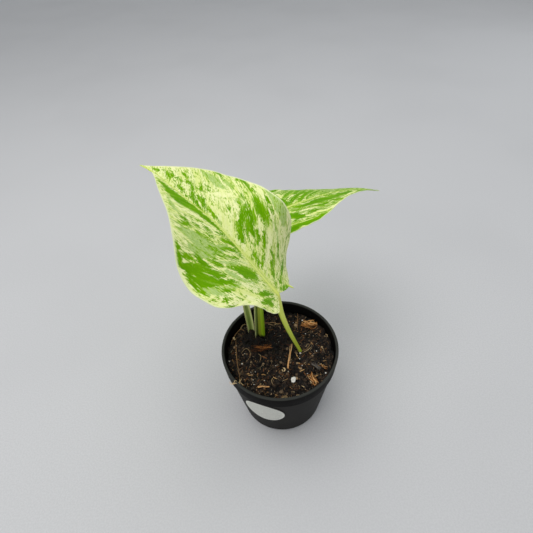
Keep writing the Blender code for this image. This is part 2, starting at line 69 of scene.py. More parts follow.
# Pot, as the solids have it, with finer roundings
POT_HEIGHT = 0.0644
RIM_RADIUS = 0.0380
RIM_WIDTH = 0.0018
RIM_EASE = 0.0004
COLLAR_HEIGHT = 0.0107
COLLAR_FOOT = POT_HEIGHT - COLLAR_HEIGHT
COLLAR_FOOT_RADIUS = 0.0372
WALL_TOP_RADIUS = 0.0363
WALL_FOOT_RADIUS = 0.0286
FOOT_RADIUS = 0.0279
FOOT_HEIGHT = 0.0020
WALL = 0.0012
FLOOR = 0.0016
FLOOR_FILLET = 0.0030
FILLET_STEPS = 7
DRAIN_COUNT = 6
DRAIN_RADIUS = 0.0028
DRAIN_CIRCLE = 0.0170
DRAIN_STEPS = 40
POT_STEPS = 168
POT_ROUNDING = 0.00035
ROUNDING_SHARE = 0.45
ROUNDING_STEPS = 5
GAP = 0.0003
MERGE = 0.000001

# Label
LABEL_RADIUS = 0.0135
LABEL_THICKNESS = 0.0003
LABEL_HEIGHT = 0.0380
LABEL_BEARING = -112.7
LABEL_RINGS = 14
LABEL_RING_BIAS = 0.8
LABEL_STEPS = 96
LABEL_CLEARANCE = 0.0002
LABEL_EDGE_LIFT = 0.00006
LABEL_LIFT_START = 0.72

# Soil. Clods have their size and height. Hollows have their x, y, width and depth, and the
# patches of painted shade under the leaves their x, y and width.
SOIL_TOP = 0.0570
SOIL_LUMP = 0.0022
SOIL_CRUMB = 0.0011
SOIL_LUMP_SIZE = 0.0130
SOIL_CRUMB_SIZE = 0.0050
SOIL_SEED = Vector((3.1, 7.4, 0.6))
SOIL_CELLS = 270
SOIL_EDGE_REACH = 0.0002
SOIL_EDGE_START = 0.94
SOIL_EDGE_DROP = 0.0010
PLUG_END_RADIUS = 0.004
CLODS = ((0.0040, 0.0015), (0.0020, 0.0010), (0.0010, 0.0005))
CLOD_LEAST = 0.35
CLOD_SPREAD = 0.85
CLOD_SHUFFLE = 31.7
CLOD_LAYERS = 4000.0
HOLLOWS = (
    (-0.0085, 0.0105, 0.0080, 0.0026), (0.0010, 0.0060, 0.0060, 0.0012),
    (0.0090, -0.0040, 0.0050, 0.0008))
# Patches of painted shade under the leaves: soil, crumbs and strands are darker in them
LEAF_SHADE_PATCHES = (
    (-0.0100, 0.0085, 0.0100), (-0.0020, 0.0060, 0.0060), (-0.0190, 0.0120, 0.0060),
    (0.0080, 0.0130, 0.0050))
RAISED_BASE = 0.0020
RAISED_SPAN = 0.0034
# Share of the soil's lightness kept in the painted shade under the leaves
RAISED_IN_LEAF_SHADE = 0.25
RAISED_ON_PLUG = 0.5

# Crumbs and grains. Sizes have the smallest, the growth and how rare the large ones are, and
# tones have the two weights of a random tone. Placed grains have their x, y, size and tone.
SCATTER_REACH = 0.94
CRUMB_JITTER = 0.10
CRUMB_STRETCH = (0.65, 1.25)
CRUMB_SQUASH = (1.0, 1.0, 0.75)
GRAIN_SEED = 11
GRAIN_COUNT = 1700
GRAIN_SIZES = (0.00024, 0.00090, 2.8)
GRAIN_RISE = 0.25
GRAIN_TONES = (1.1, 2.2)
# Share of a crumb's tone kept in the painted shade under the leaves
GRAIN_LEAF_SHADE_TONE = 0.15
SPECK_SEED = 23
SPECK_COUNT = 150
SPECK_SIZES = (0.00012, 0.00030, 2.5)
SPECK_RISE = 0.5
SPECK_TONES = (2.0, 1.5)
PLACED_SPECKS = (
    (0.0177, 0.0247, 0.00062, 0.95), (-0.0252, -0.0072, 0.00058, 1.0), (0.0134, -0.0013, 0.00060, 0.85),
    (0.0042, -0.0147, 0.00050, 0.60), (0.0276, -0.0182, 0.00052, 0.90), (-0.0335, -0.0048, 0.00050, 0.75),
    (0.0252, -0.0110, 0.00045, 0.80), (0.0136, -0.0108, 0.00045, 0.80), (-0.0170, -0.0128, 0.00042, 0.70),
    (0.0090, -0.0155, 0.00042, 0.80), (-0.0060, -0.0330, 0.00046, 0.85), (-0.0296, 0.0020, 0.00040, 0.65),
)

# Splinters, with the least and greatest of each measure
SPLINTER_SEED = 37
SPLINTER_COUNT = 260
SPLINTER_RINGS = 6
SPLINTER_LENGTHS = (0.0008, 0.0042)
SPLINTER_WIDTHS = (0.00012, 0.00042)
SPLINTER_TILTS = (-0.35, 0.45)
SPLINTER_RISE = 0.00025
SPLINTER_TONES = (1.2, 1.9)
# Share of the tone of splinters and fibres kept in the painted shade under the leaves
STRAND_LEAF_SHADE_TONE = 0.1

# Fibres. Random ones have the least and greatest of each measure. Placed ones have their spots,
# how high their middle is lifted, radius and tone, and hung ones their places, radius and tone.
FIBRE_SEED = 53
FIBRE_COUNT = 320
FIBRE_REACHES = (0.0012, 0.0042)
FIBRE_TURN = 0.75
FIBRE_LIFTS = (0.0, 0.0009)
FIBRE_RADII = (0.00005, 0.00013)
FIBRE_TONES = (1.4, 1.5)
FIBRE_LIMIT = 0.96
FIBRE_EASINGS = 4
HUNG_RINGS = 30
PLACED_FIBRES = (
    (((-0.0295, 0.0131), (-0.0290, 0.0033), (-0.0282, -0.0080), (-0.0262, -0.0200)), 0.0010, 0.00028, 0.50),
    (((-0.0300, 0.0140), (-0.0312, 0.0138), (-0.0305, 0.0126), (-0.0296, 0.0128)), 0.0006, 0.00045, 0.92),
    (((-0.0095, 0.0240), (-0.0050, 0.0246), (-0.0010, 0.0236), (0.0030, 0.0228)), 0.0009, 0.00032, 0.62),
    (((-0.0080, 0.0234), (-0.0030, 0.0230), (0.0010, 0.0232)), 0.0005, 0.00018, 0.80),
    (((-0.0330, 0.0085), (-0.0300, 0.0165), (-0.0262, 0.0200), (-0.0228, 0.0190)), 0.0012, 0.00026, 0.55),
    (((-0.0315, 0.0140), (-0.0285, 0.0185), (-0.0255, 0.0215)), 0.0010, 0.00020, 0.70),
    (((-0.0262, 0.0215), (-0.0240, 0.0250), (-0.0225, 0.0262)), 0.0012, 0.00036, 0.72),
    (((0.0010, -0.0120), (0.0022, -0.0138), (0.0016, -0.0152)), 0.0006, 0.00045, 0.92),
    (((0.0002, -0.0140), (0.0010, -0.0152)), 0.0003, 0.00040, 0.85),
    (((0.0320, 0.0120), (0.0330, 0.0100), (0.0326, 0.0085)), 0.0008, 0.00032, 0.70),
    (((0.0276, 0.0016), (0.0286, 0.0008)), 0.0003, 0.00036, 0.95),
    (((0.0140, -0.0020), (0.0180, 0.0000), (0.0215, 0.0022)), 0.0008, 0.00018, 0.80),
    (((-0.0268, -0.0170), (-0.0270, -0.0205), (-0.0262, -0.0232)), 0.0006, 0.00028, 0.75),
    (((0.0153, 0.0338), (0.0146, 0.0260), (0.0136, 0.0179)), 0.0008, 0.00022, 0.50),
    (((0.0118, -0.0247), (0.0130, -0.0262), (0.0139, -0.0282)), 0.0005, 0.00024, 0.95),
    (((-0.0262, 0.0010), (-0.0225, 0.0042), (-0.0196, 0.0002), (-0.0215, -0.0040)), 0.0008, 0.00014, 0.70),
    (((-0.0150, 0.0010), (-0.0128, -0.0022), (-0.0138, -0.0062)), 0.0009, 0.00015, 0.75),
    (((-0.0055, -0.0180), (-0.0068, -0.0210), (-0.0055, -0.0245)), 0.0008, 0.00018, 0.70),
    (((0.0150, -0.0190), (0.0178, -0.0200), (0.0172, -0.0240), (0.0205, -0.0262)), 0.0012, 0.00020, 0.85),
    (((0.0142, 0.0000), (0.0178, 0.0008), (0.0205, 0.0035), (0.0215, 0.0060)), 0.0009, 0.00016, 0.60),
)
HUNG_FIBRES = (
    (((-0.0256, -0.0190, 0.0586), (-0.0262, -0.0222, 0.0618), (-0.0277, -0.0246, 0.0640),
      (-0.0292, -0.0250, 0.0651), (-0.0306, -0.0249, 0.0650)), 0.00022, 0.80),
    (((-0.0286, -0.0248, 0.0647), (-0.0299, -0.0258, 0.0655), (-0.0314, -0.0256, 0.0656),
      (-0.0320, -0.0244, 0.0660)), 0.00020, 0.95),
    (((-0.0262, -0.0226, 0.0622), (-0.0252, -0.0246, 0.0634), (-0.0240, -0.0258, 0.0632)), 0.00018, 0.75),
    (((-0.0296, -0.0250, 0.0652), (-0.0289, -0.0236, 0.0655), (-0.0279, -0.0233, 0.0641)), 0.00018, 0.90),
)

# Leaves, as the solids have them
BLADE_THICKNESS = 0.00055
BLADE_ROWS = 230
BLADE_HALF_COLUMNS = 42
MIDRIB_STEPS = 60
CURL_SPAN = 0.040
LEAST_CURL = 0.01
VEIN_STARTS = (0.0, 0.005, 0.015, 0.035, 0.07, 0.14, 0.30, 0.58, 0.86, 1.0)
VEIN_SWEEP = 1.3
RIPPLE = 0.0007
RIPPLE_WAVES = 5.5
FLUTTER = 0.00022
FLUTTER_WAVES = 19.0
FLUTTER_SLANT = 5.0
RIB_END = 0.94
RIB_SINK = 0.5
VEIN_PITCH = 0.0072
VEIN_WIDTH = 0.0007
VEIN_DEPTH = 0.00014
VEIN_WANDER = 0.0010
VEIN_WANDER_PACE = (640.0, 60.0)
LOBE_FAN = 0.014
LOBE_FAN_START = 0.002
MIDRIB_GLOW_REACH = (0.0, 0.11, 0.28, 0.50, 1.0)
MIDRIB_GLOW = (0.0034, 0.0027, 0.0014, 0.0007, 0.0003)

FRONT_LEAF = {
    "base": (-0.0002, -0.0007, 0.1162),
    "length": 0.1065,
    "heading": (141, 141, 142, 145, 142, 147),
    "climb": (41, 42, 38, 26, 26, 7),
    "roll": (-17, -12, -11),
    "left_fold": (22, 18, 20, 17),
    "left_curl": (-11, -23, 1, -5),
    "right_fold": (-6, 28, 14, 7),
    "right_curl": (-27, 5, -9, -11),
    "left_outline": (
        (0.0, 0.0), (-0.030, 0.006), (-0.050, 0.0160), (-0.002, 0.0235), (0.100, 0.0315),
        (0.210, 0.0455), (0.450, 0.0435), (0.740, 0.0165), (0.910, 0.0006), (1.0, 0.0)),
    "right_outline": (
        (0.0, 0.0), (-0.025, 0.007), (-0.040, 0.0155), (-0.030, 0.0245), (0.050, 0.0425),
        (0.245, 0.039), (0.490, 0.0355), (0.740, 0.027), (0.940, 0.0045), (1.0, 0.0)),
    "ripple_phase": 0.4,
    "rib": (0.0019, 0.0013, 0.0009, 0.0005, 0.0003),
    "sweep": (0.75, 16.0),
    "lobe_point": (
        (0.0050, 0.0136, 0.1082), (0.0076, 0.0131, 0.1070), (0.0094, 0.0121, 0.1066),
        (0.0107, 0.0117, 0.1060)),
}
REAR_LEAF = {
    "base": (-0.0084, 0.0702, 0.1140),
    "length": 0.0915,
    "heading": (20, 13, 2),
    "climb": (7, 6, -14),
    "roll": (-1, 13, 27),
    "left_fold": (-2, 0, -5, 4),
    "left_curl": (-16, -14, -22, -7),
    "right_fold": (0, 6, 3, 5),
    "right_curl": (-15, -13, -16, -8),
    "left_outline": (
        (0.0, 0.0), (-0.060, 0.005), (-0.080, 0.011), (-0.060, 0.020), (0.060, 0.028),
        (0.235, 0.0335), (0.450, 0.0255), (0.730, 0.0165), (0.930, 0.0025), (1.0, 0.0)),
    "right_outline": (
        (0.0, 0.0), (-0.060, 0.005), (-0.080, 0.011), (-0.060, 0.020), (0.075, 0.024),
        (0.250, 0.028), (0.465, 0.027), (0.730, 0.0115), (0.930, 0.0025), (1.0, 0.0)),
    "ripple_phase": 2.0,
    "rib": (0.0016, 0.0011, 0.0008, 0.0005, 0.0003),
    "sweep": (1.0, 30.0),
}

# Marbling, with painted sheen among the grey-green strokes, in millimetres on the flat blade: each
# stroke is a row of places along and out from the midrib with the stroke's half width there. Places
# out below zero are on the left half.
FRONT_GREEN = (
    ((89, -4, 0.7), (84, -4.8, 1.9), (80, -5.6, 3.2), (75.5, -6, 4.2), (71.5, -6, 4.5), (68, -5, 4.1),
     (64, -4.2, 3.3), (59.5, -3.8, 2.6), (55.5, -3.2, 1.8), (52, -2.6, 1.3), (48.5, -2.4, 1), (44, -2, 0.7)),
    ((46.5, -6, 0.6), (44, -3.5, 0.8), (41, -2.5, 0.6)),
    ((42.5, -8, 0.8), (40, -5, 1.1), (37, -2.5, 1.4), (33.5, -2, 1.1), (31, -2, 0.6)),
    ((38.5, -13, 0.6), (36.5, -8.5, 1.1), (33.5, -6, 1.1), (30, -4, 0.6)),
    ((40, -20.5, 0.5), (38, -18.5, 0.8), (35.5, -16.5, 0.8), (32.5, -12.5, 0.7), (29.5, -9, 0.6)),
    ((50.5, -15.5, 0.5), (48, -14, 0.8), (46.5, -12.5, 0.5)),
    ((30, -20, 0.6), (28, -17.5, 1.1), (25.5, -15.5, 2.3), (23, -13, 3.3), (20, -10.5, 3.8), (17, -8, 2.7),
     (15, -7.5, 1.1)),
    ((45, -31, 1.1), (41, -31.5, 2), (38, -31.5, 2.1), (35.5, -31, 2), (33, -30.5, 1.9), (30, -28.5, 1.8),
     (28.5, -27, 1)),
    ((39.5, -27.5, 0.6), (37.5, -25, 1.3), (35, -24.5, 1), (32.5, -23, 0.6)),
    ((44.5, -42, 0.8), (42.5, -39.5, 2.7), (38.5, -38.5, 5.2), (35.5, -38, 5), (32.5, -37, 3.8),
     (30, -34.5, 2.5), (27, -31, 1.9), (24.5, -27.5, 1.6), (23, -24.5, 0.8)),
    ((54, -37.5, 0.6), (52.5, -38, 1), (50.5, -39.5, 1.4), (47.5, -41, 1.5), (46, -42, 1.4),
     (45, -41.5, 0.8)),
    ((49, -38.5, 0.6), (46.5, -37, 1), (44.5, -34.5, 0.9), (43, -33.5, 0.6)),
    ((63.5, -21, 0.6), (60.5, -21, 1.4), (57, -21, 0.8)),
    ((60.5, -27.5, 0.5), (59, -24.5, 0.9), (57, -22.5, 0.6)),
    ((62, -17.5, 0.4), (60, -15, 0.6)),
    ((57.5, -17.5, 0.5), (55, -16, 0.8)),
    ((53.5, -12.5, 0.6), (51, -11, 0.9), (49, -10.5, 0.5)),
    ((58, -12.5, 0.4), (56, -10.5, 0.5)),
    ((53, -21, 0.4), (49.5, -18.5, 0.6), (46.5, -17, 0.6), (44, -15.5, 0.4)),
    ((44, -20.5, 0.4), (40.5, -18, 0.6), (38, -17, 0.5)),
    ((23.5, -34.5, 0.6), (22, -32, 1.1), (20.5, -29, 0.6)),
    ((21, -38.5, 0.4), (18.5, -35.5, 0.7)),
    ((15.5, -32.5, 0.4), (14, -30.5, 0.6)),
    ((30.5, -44, 0.6), (28.5, -44, 1)),
    ((34, -44, 0.4), (32, -44, 0.6)),
    ((8, -17, 0.5), (6, -11, 1.6), (2.5, -6.5, 1.2)),
    ((6, -23, 0.5), (3.5, -18.5, 1.8), (1, -15.5, 2)),
    ((3.5, -14, 0.4), (1, -9.5, 0.8)),
    ((18, -41, 0.3), (16.5, -40, 0.3)),
    ((47.5, 19.5, 1), (45.5, 16.5, 1.7), (43.5, 13, 1.9), (42, 9.5, 2.1), (39.5, 7.5, 2.1), (37, 5.5, 1.9),
     (34, 4.5, 0.9)),
    ((45.5, 21.5, 0.9), (43, 19.5, 1.7), (40, 17.5, 1.7), (38, 14.5, 1.6), (35, 12.5, 1.5),
     (32.5, 12, 0.8)),
    ((46, 19.5, 0.7), (43, 16.5, 1.2), (40.5, 14, 1.2), (38, 11, 0.9), (35.5, 9, 0.7)),
    ((33.5, 15, 0.8), (30, 13, 1.4), (28.5, 10.5, 1.1), (28, 9, 0.5)),
    ((48, 28.5, 0.8), (46, 27, 1.8), (43, 26, 2.4), (40.5, 24.5, 2.9), (37.5, 24, 2.3), (35, 22, 1.3),
     (33, 21, 0.7), (30, 18, 0.4), (27, 16, 0.4), (24, 13, 0.4)),
    ((43, 32.5, 0.5), (41, 31.5, 0.9), (39.5, 29, 0.6)),
    ((37.5, 26.5, 0.5), (34.5, 24.5, 0.9), (32, 23.5, 0.6), (31.5, 21.5, 0.4)),
    ((37.5, 30.5, 0.3), (35, 29, 0.4)),
    ((61, 32.5, 0.8), (58.5, 33, 0.9), (56.5, 32.5, 0.6)),
    ((56, 32, 0.6), (53.5, 30.5, 0.9), (51, 29.5, 0.6)),
    ((51.5, 32, 0.3), (49.5, 30.5, 0.5)),
    ((26, 6, 0.6), (23, 5, 0.9), (20.5, 4, 0.9), (18, 2.5, 0.5)),
    ((26, 3, 0.3), (23.5, 2.5, 0.5)),
    ((21.5, 9, 0.3), (18.5, 7, 0.4), (16, 3.5, 0.4)),
    ((21, 11, 0.3), (18.5, 8.5, 0.4)),
    ((19, 16.5, 0.5), (15.5, 16.5, 1.1), (12.5, 14.5, 0.7)),
    ((15, 12.5, 0.5), (11.5, 11, 1.4), (9, 8.5, 1.3), (7, 6.5, 0.7)),
    ((12, 27.5, 0.4), (9, 28, 0.8), (7, 24.5, 1.1), (5, 20, 0.9), (3.5, 15, 0.8), (2, 11, 0.8)),
    ((19.5, 23, 0.4), (16, 23, 0.7), (13.5, 20.5, 0.5)),
    ((4.5, 6, 0.4), (2.5, 3.5, 0.6)),
    ((-4, 16.5, 0.6), (-2.5, 13.5, 1.2), (-1, 8.5, 1.4), (0, 6, 0.8)),
    ((80.5, 9.5, 0.5), (79, 10.5, 1), (76, 9, 0.9), (73, 6, 1), (70, 3.5, 1.1), (67.5, 2.5, 1),
     (65.5, 1, 0.7)),
    ((69.5, 6.5, 0.5), (67, 6.5, 1.3), (64.5, 5, 1.5), (62, 3, 1.1), (60, 2, 0.6)),
    ((65.5, 0.5, 0.6), (62.5, 0.5, 0.9), (59.5, 0.5, 0.6)),
    ((73, 13, 0.4), (70, 11, 0.6)),
    ((71, 16, 0.4), (67.5, 14, 0.8)),
    ((59, 4, 0.4), (56, 3.5, 0.8), (53.5, 2.5, 0.5)),
    ((53.5, 4, 0.4), (51, 2.5, 0.6)),
    ((81.5, 4, 0.5), (78, 3, 0.9), (75.5, 2.5, 0.6), (73, 1.5, 0.4)),
    ((94, 5.5, 0.5), (91.5, 5, 0.9), (88.5, 4.5, 1), (86.5, 4, 0.5)),
    ((88.5, 6, 0.4), (86, 6.5, 0.8), (85, 7.5, 0.9), (82, 7, 0.4)),
    ((97.5, 2.5, 0.4), (95.5, 3.5, 0.5)),
    ((85.5, 12.5, 0.3), (82, 12, 0.5)),
    ((75.5, 29, 0.3), (72, 29, 0.8), (69, 29, 0.5)),
    ((53.5, 13, 0.3), (51.5, 12, 0.4)),
    ((53.5, 23.5, 0.4), (50.5, 23, 0.6)),
    ((38.5, 19, 0.4), (37, 17.5, 0.4)),
)
FRONT_CREAM = (
    ((82.5, -9, 0.4), (76.5, -13, 0.6), (70.5, -15.5, 0.8), (67, -14.5, 0.8), (63.5, -12, 0.8),
     (59.5, -10.5, 0.8), (56, -8, 0.6), (51.5, -8, 0.5)),
    ((17.5, -27, 1.1), (14, -24.5, 1.6), (10.5, -21.5, 1.5), (12, -27.5, 1.6), (13.5, -33.5, 0.9)),
    ((22.5, -43.5, 0.9), (19.5, -41.5, 1.1), (16.5, -38, 0.8)),
    ((44, -44, 0.5), (40, -45, 0.7), (36.5, -45, 0.7)),
    ((7, -17.5, 0.3), (3.5, -12, 0.4), (1, -7, 0.3)),
    ((-1.5, -14.5, 0.6), (-3.5, -17, 0.9)),
    ((43, -34, 0.3), (40, -34.5, 0.4), (36, -34, 0.4), (31.5, -33, 0.4), (28, -29, 0.3)),
    ((42, -37.5, 0.3), (39.5, -34, 0.3)),
    ((48, -43, 0.7), (46.5, -41, 1.1), (46, -39, 1.4), (44.5, -37, 1.2), (42.5, -35.5, 0.8),
     (40.5, -34.5, 0.5)),
    ((29.5, -39, 0.5), (28, -36, 0.8), (25.5, -33, 0.8), (23.5, -28.5, 0.5)),
    ((42, -29.5, 0.5), (39.5, -28.5, 0.8), (37, -27.5, 0.7), (34, -26.5, 0.4)),
    ((61.5, 6.5, 1), (56.5, 6, 1.9), (51.5, 5, 2.3), (47, 4.5, 2.3), (42.5, 3.5, 1.9), (38.5, 1.5, 1)),
    ((63.5, 14.5, 1.4), (60, 17, 2), (57, 19.5, 1.6)),
    ((83, 16.5, 0.8), (79, 18, 1), (76, 16, 0.8)),
    ((51.5, 32.5, 0.9), (48, 32.5, 1.3), (44, 31.5, 0.9)),
    ((38, 20.5, 0.8), (34, 17.5, 1.1), (30.5, 16, 0.8)),
    ((29.5, 22, 1.1), (24.5, 19, 1.6), (21, 14.5, 1.5), (17.5, 10, 0.9)),
    ((35, 4, 0.6), (30.5, 3.5, 1), (25.5, 3, 1), (21.5, 3, 0.6)),
    ((43.5, 33.5, 0.3), (40.5, 34.5, 0.5), (37, 34, 0.6), (32.5, 31, 0.6), (28, 29.5, 0.4)),
    ((99.5, 3.5, 0.6), (96.5, 7.5, 0.8), (92.5, 11.5, 0.8)),
)
# Grey-green strokes: partly grey-green marbling, partly painted sheen where the blade curves away, as in the
# band along the right shoulder
FRONT_GREY_AND_SHEEN = (
    ((78.5, -11, 0.8), (73, -16, 1.4), (68, -19.5, 1.8), (66, -19.5, 1.1)),
    ((58.5, -30.5, 1.1), (57, -28, 2.4), (53.5, -26, 3.5), (50, -24, 4.5), (45.5, -22, 4.9),
     (42, -19.5, 4.3), (39.5, -16.5, 3.2), (39, -10.5, 2.1), (38.5, -6.5, 0.9)),
    ((49, -31.5, 2.1), (46.5, -29.5, 2.8), (43.5, -28.5, 2.8), (41.5, -25.5, 2.4), (38.5, -23, 1.6)),
    ((29.5, -23, 1.4), (26, -22, 2.3), (23.5, -20.5, 2.1), (20, -19, 1.5), (16.5, -15.5, 1.3),
     (13.5, -9.5, 1.1)),
    ((31.5, -42.5, 1.8), (28.5, -40, 2.9), (26, -37, 3.2), (24, -31.5, 2.1), (21.5, -27.5, 1.6),
     (20, -22.5, 1.1)),
    ((36.5, -44, 0.8), (32.5, -44, 1.1), (30.5, -44, 1.4), (27.5, -42.5, 1.5)),
    ((35.5, -22.5, 0.9), (32.5, -19, 1.3), (29.5, -14.5, 1.3), (26.5, -10, 0.8)),
    ((16, -15, 0.6), (12.5, -14.5, 0.9), (9.5, -15.5, 0.8)),
    ((24.5, -39.5, 0.9), (21.5, -36, 1.1), (19, -32, 0.9)),
    ((81.5, 23, 1.1), (77, 23, 2.1), (71.5, 23, 2.8), (67, 21.5, 2.8), (63.5, 21.5, 1.9)),
    ((66.5, 26.5, 1.3), (61, 25, 1.5), (58, 23, 0.8)),
    ((80.5, 9.5, 1.3), (77.5, 10, 1.5), (74.5, 7, 1)),
    ((52.5, 17, 1.1), (52, 19, 1.8), (50, 20.5, 1.3)),
    ((46, 36, 1.2), (42, 35.5, 2.4), (38.5, 35, 3.3), (35, 34.5, 3.7), (32, 34.5, 3.7), (29, 33.5, 3.1),
     (26, 32.5, 1.8)),
    ((30.5, 26.5, 0.8), (25, 25.5, 1.1), (19.5, 23.5, 1.3), (14, 22, 1)),
    ((30.5, 38, 0.6), (26.5, 37.5, 0.8), (23, 35.5, 0.8), (19.5, 33.5, 0.6)),
    ((47, 20, 1.6), (43.5, 17, 1.6), (40.5, 13.5, 1.5), (36, 10, 1.3)),
    ((74.5, 29.5, 0.5), (69, 31.5, 0.8), (63.5, 32, 0.6)),
)
REAR_GREEN = (
    ((29.5, 5.5, 0.9), (34, 7, 1.6), (39, 7, 2.2), (44, 7.5, 2.5), (49.5, 8.5, 2.3), (55.5, 8.5, 1.9),
     (61.5, 7.5, 1.4), (68, 5, 0.8)),
    ((20, 10, 1), (23, 12.5, 2), (25, 16, 1.8), (27.5, 18, 0.9)),
    ((14.5, 23.5, 1.4), (19, 24, 1.8), (23.5, 24.5, 1.6), (27, 25.5, 1.4), (31.5, 26.5, 1.2),
     (36.5, 27, 0.9), (41, 26.5, 0.4)),
    ((22.5, -11.5, 0.8), (23.5, -5, 1.5), (22.5, 0.5, 0.9)),
    ((25, -15, 0.5), (29.5, -19, 0.6), (34, -24.5, 0.5)),
    ((26.5, -4.5, 0.7), (33, -10.5, 0.9), (40.5, -17, 0.6)),
    ((33.5, -4, 0.7), (41.5, -12, 0.9), (46.5, -16, 0.5)),
    ((33.5, -16.5, 0.4), (39, -22.5, 0.5)),
    ((43, -8, 0.5), (50, -12, 0.6)),
    ((32.5, 17, 0.4), (34.5, 18, 0.7), (37.5, 18.5, 0.4)),
    ((40.5, 14.5, 0.4), (43.5, 15.5, 0.6), (46.5, 15, 0.4)),
    ((52, 13.5, 0.3), (54.5, 15, 0.6), (56.5, 13, 0.4)),
    ((19.5, -33.5, 0.4), (21.5, -29.5, 0.6), (24, -30.5, 0.4)),
    ((74, 5.5, 0.4), (80, 5, 0.7), (87.5, 1.5, 0.5)),
    ((8, -8, 1.4), (14, -14, 2.0), (18, -22, 1.6)),
    ((4, 10, 1.6), (9, 16, 2.2), (12, 22, 1.4)),
)
REAR_CREAM = (
    ((20.5, -22, 0.6), (23.5, -22.5, 0.9), (23.5, -15.5, 1), (26, -19, 0.8)),
    ((24, -29.5, 0.4), (27, -29.5, 0.4)),
    ((29.5, -22, 0.3), (34.5, -26.5, 0.6), (38.5, -26, 0.5)),
    ((49, -9, 0.3), (54, -10.5, 0.3)),
    ((24.5, -8, 0.2), (31, -14.5, 0.3)),
    ((28, -6.5, 0.3), (32, -9.5, 0.3)),
    ((33.5, -4, 0.2), (37.5, -5.5, 0.4), (43, -8, 0.4)),
    ((21.5, 4.5, 0.2), (26.5, 3, 0.2), (31.5, 0.5, 0.2), (37.5, -2.5, 0.2)),
    ((21.5, 7, 0.4), (25, 9.5, 0.6), (30.5, 12, 0.7), (35.5, 14, 0.8), (41, 15, 0.6), (46.5, 16.5, 0.8),
     (51, 15, 0.6), (56.5, 13, 0.3), (61.5, 12.5, 0.7), (66.5, 9, 0.9), (72.5, 5.5, 0.4)),
    ((19.5, 15.5, 0.6), (20.5, 18, 0.4)),
    ((29, 18.5, 0.7), (33.5, 20.5, 1), (38, 21, 1.2), (43, 23, 1), (49.5, 22.5, 0.9), (57, 18, 0.8),
     (65, 12.5, 0.6)),
    ((17, 19.5, 0.3), (20, 21, 0.3), (25.5, 23, 0.3), (31.5, 24.5, 0.3), (37, 24.5, 0.3)),
    ((24, 19, 0.4), (27.5, 20.5, 0.6)),
)
# Grey-green strokes: a painted sheen along the midrib, and a smaller grey-green stroke
REAR_GREY_AND_SHEEN = (
    ((35.5, -2, 1.0), (44.5, -3.5, 2.2), (50.5, -3.5, 2.8), (56.5, -3.5, 3), (62.5, -3.5, 2.8), (69, -4, 2.2),
     (76, -3, 1.2)),
    ((33.5, 19, 0.6), (38.5, 20.5, 0.8), (44, 21, 0.7)),
)

# How far outside and inside a stroke its depth is told, in millimetres
MARK_REACH = 1.3
MARK_DEPTH = 1.6

# Stalks
STALK_RINGS = 90
RIB_RINGS = 60
STALK_SIDES = 28
STALK_JOINT = 0.93
STALK_GROOVE = 0.16
GROOVE_WIDTH = 0.42
SWELLING = 0.00012
SWELLING_PLACE = 0.97
SWELLING_LENGTH = 0.035
JOINT_EASINGS = 6
JOINT_EASE_RINGS = 7
FRONT_STALK_ROUTE = (
    (0.0181, 0.0003, 0.0400), (0.0130, 0.0005, 0.0575), (0.0090, 0.0004, 0.0700),
    (0.0052, 0.0003, 0.0830), (0.0021, 0.0001, 0.0965), (0.0006, -0.0001, 0.1075),
    (-0.0003, -0.0004, 0.1150))
FRONT_STALK_RADII = (0.0010, 0.0012, 0.0015, 0.0018, 0.0019)
REAR_STALK_ROUTE = (
    (-0.0120, 0.0140, 0.0400), (-0.0115, 0.0150, 0.0570), (-0.0112, 0.0172, 0.0690),
    (-0.0110, 0.0210, 0.0800), (-0.0107, 0.0280, 0.0895), (-0.0103, 0.0390, 0.0970),
    (-0.0098, 0.0515, 0.1020), (-0.0092, 0.0630, 0.1070), (-0.0087, 0.0694, 0.1130))
REAR_STALK_RADII = (0.0024, 0.0023, 0.0019, 0.0017, 0.0016, 0.0016)

# Small pale point at the corner of the front blade's right lobe
LOBE_POINT_RADII = (0.0003, 0.0006, 0.0005, 0.0001)
LOBE_POINT_RINGS = 24
LOBE_POINT_SIDES = 14

# Wing on the rear stalk, and the free sheath beside it
WING_SPAN = (0.10, 0.50)
WING_BEARINGS = (-85.0, 28.0)
WING_TOP_SHARE = 0.35
WING_FLARE = 0.0020
SHEATH_SPAN = (0.0, 1.0)
SHEATH_ROUTE = (
    (-0.0180, 0.0172, 0.0440), (-0.0184, 0.0180, 0.0575), (-0.0190, 0.0190, 0.0695),
    (-0.0200, 0.0204, 0.0815), (-0.0212, 0.0222, 0.0905))
SHEATH_WIDTHS = (0.0021, 0.0023, 0.0024, 0.0021, 0.0005)
SHEATH_ARC = 150.0
SHEATH_FACING = -80.0
CHANNEL_THICKNESS = 0.0005
CHANNEL_ROWS = 90
CHANNEL_COLUMNS = 36
CHANNEL_RIDGE = 0.00006
CHANNEL_RIDGES = 7
COURSE_STEP = 0.01

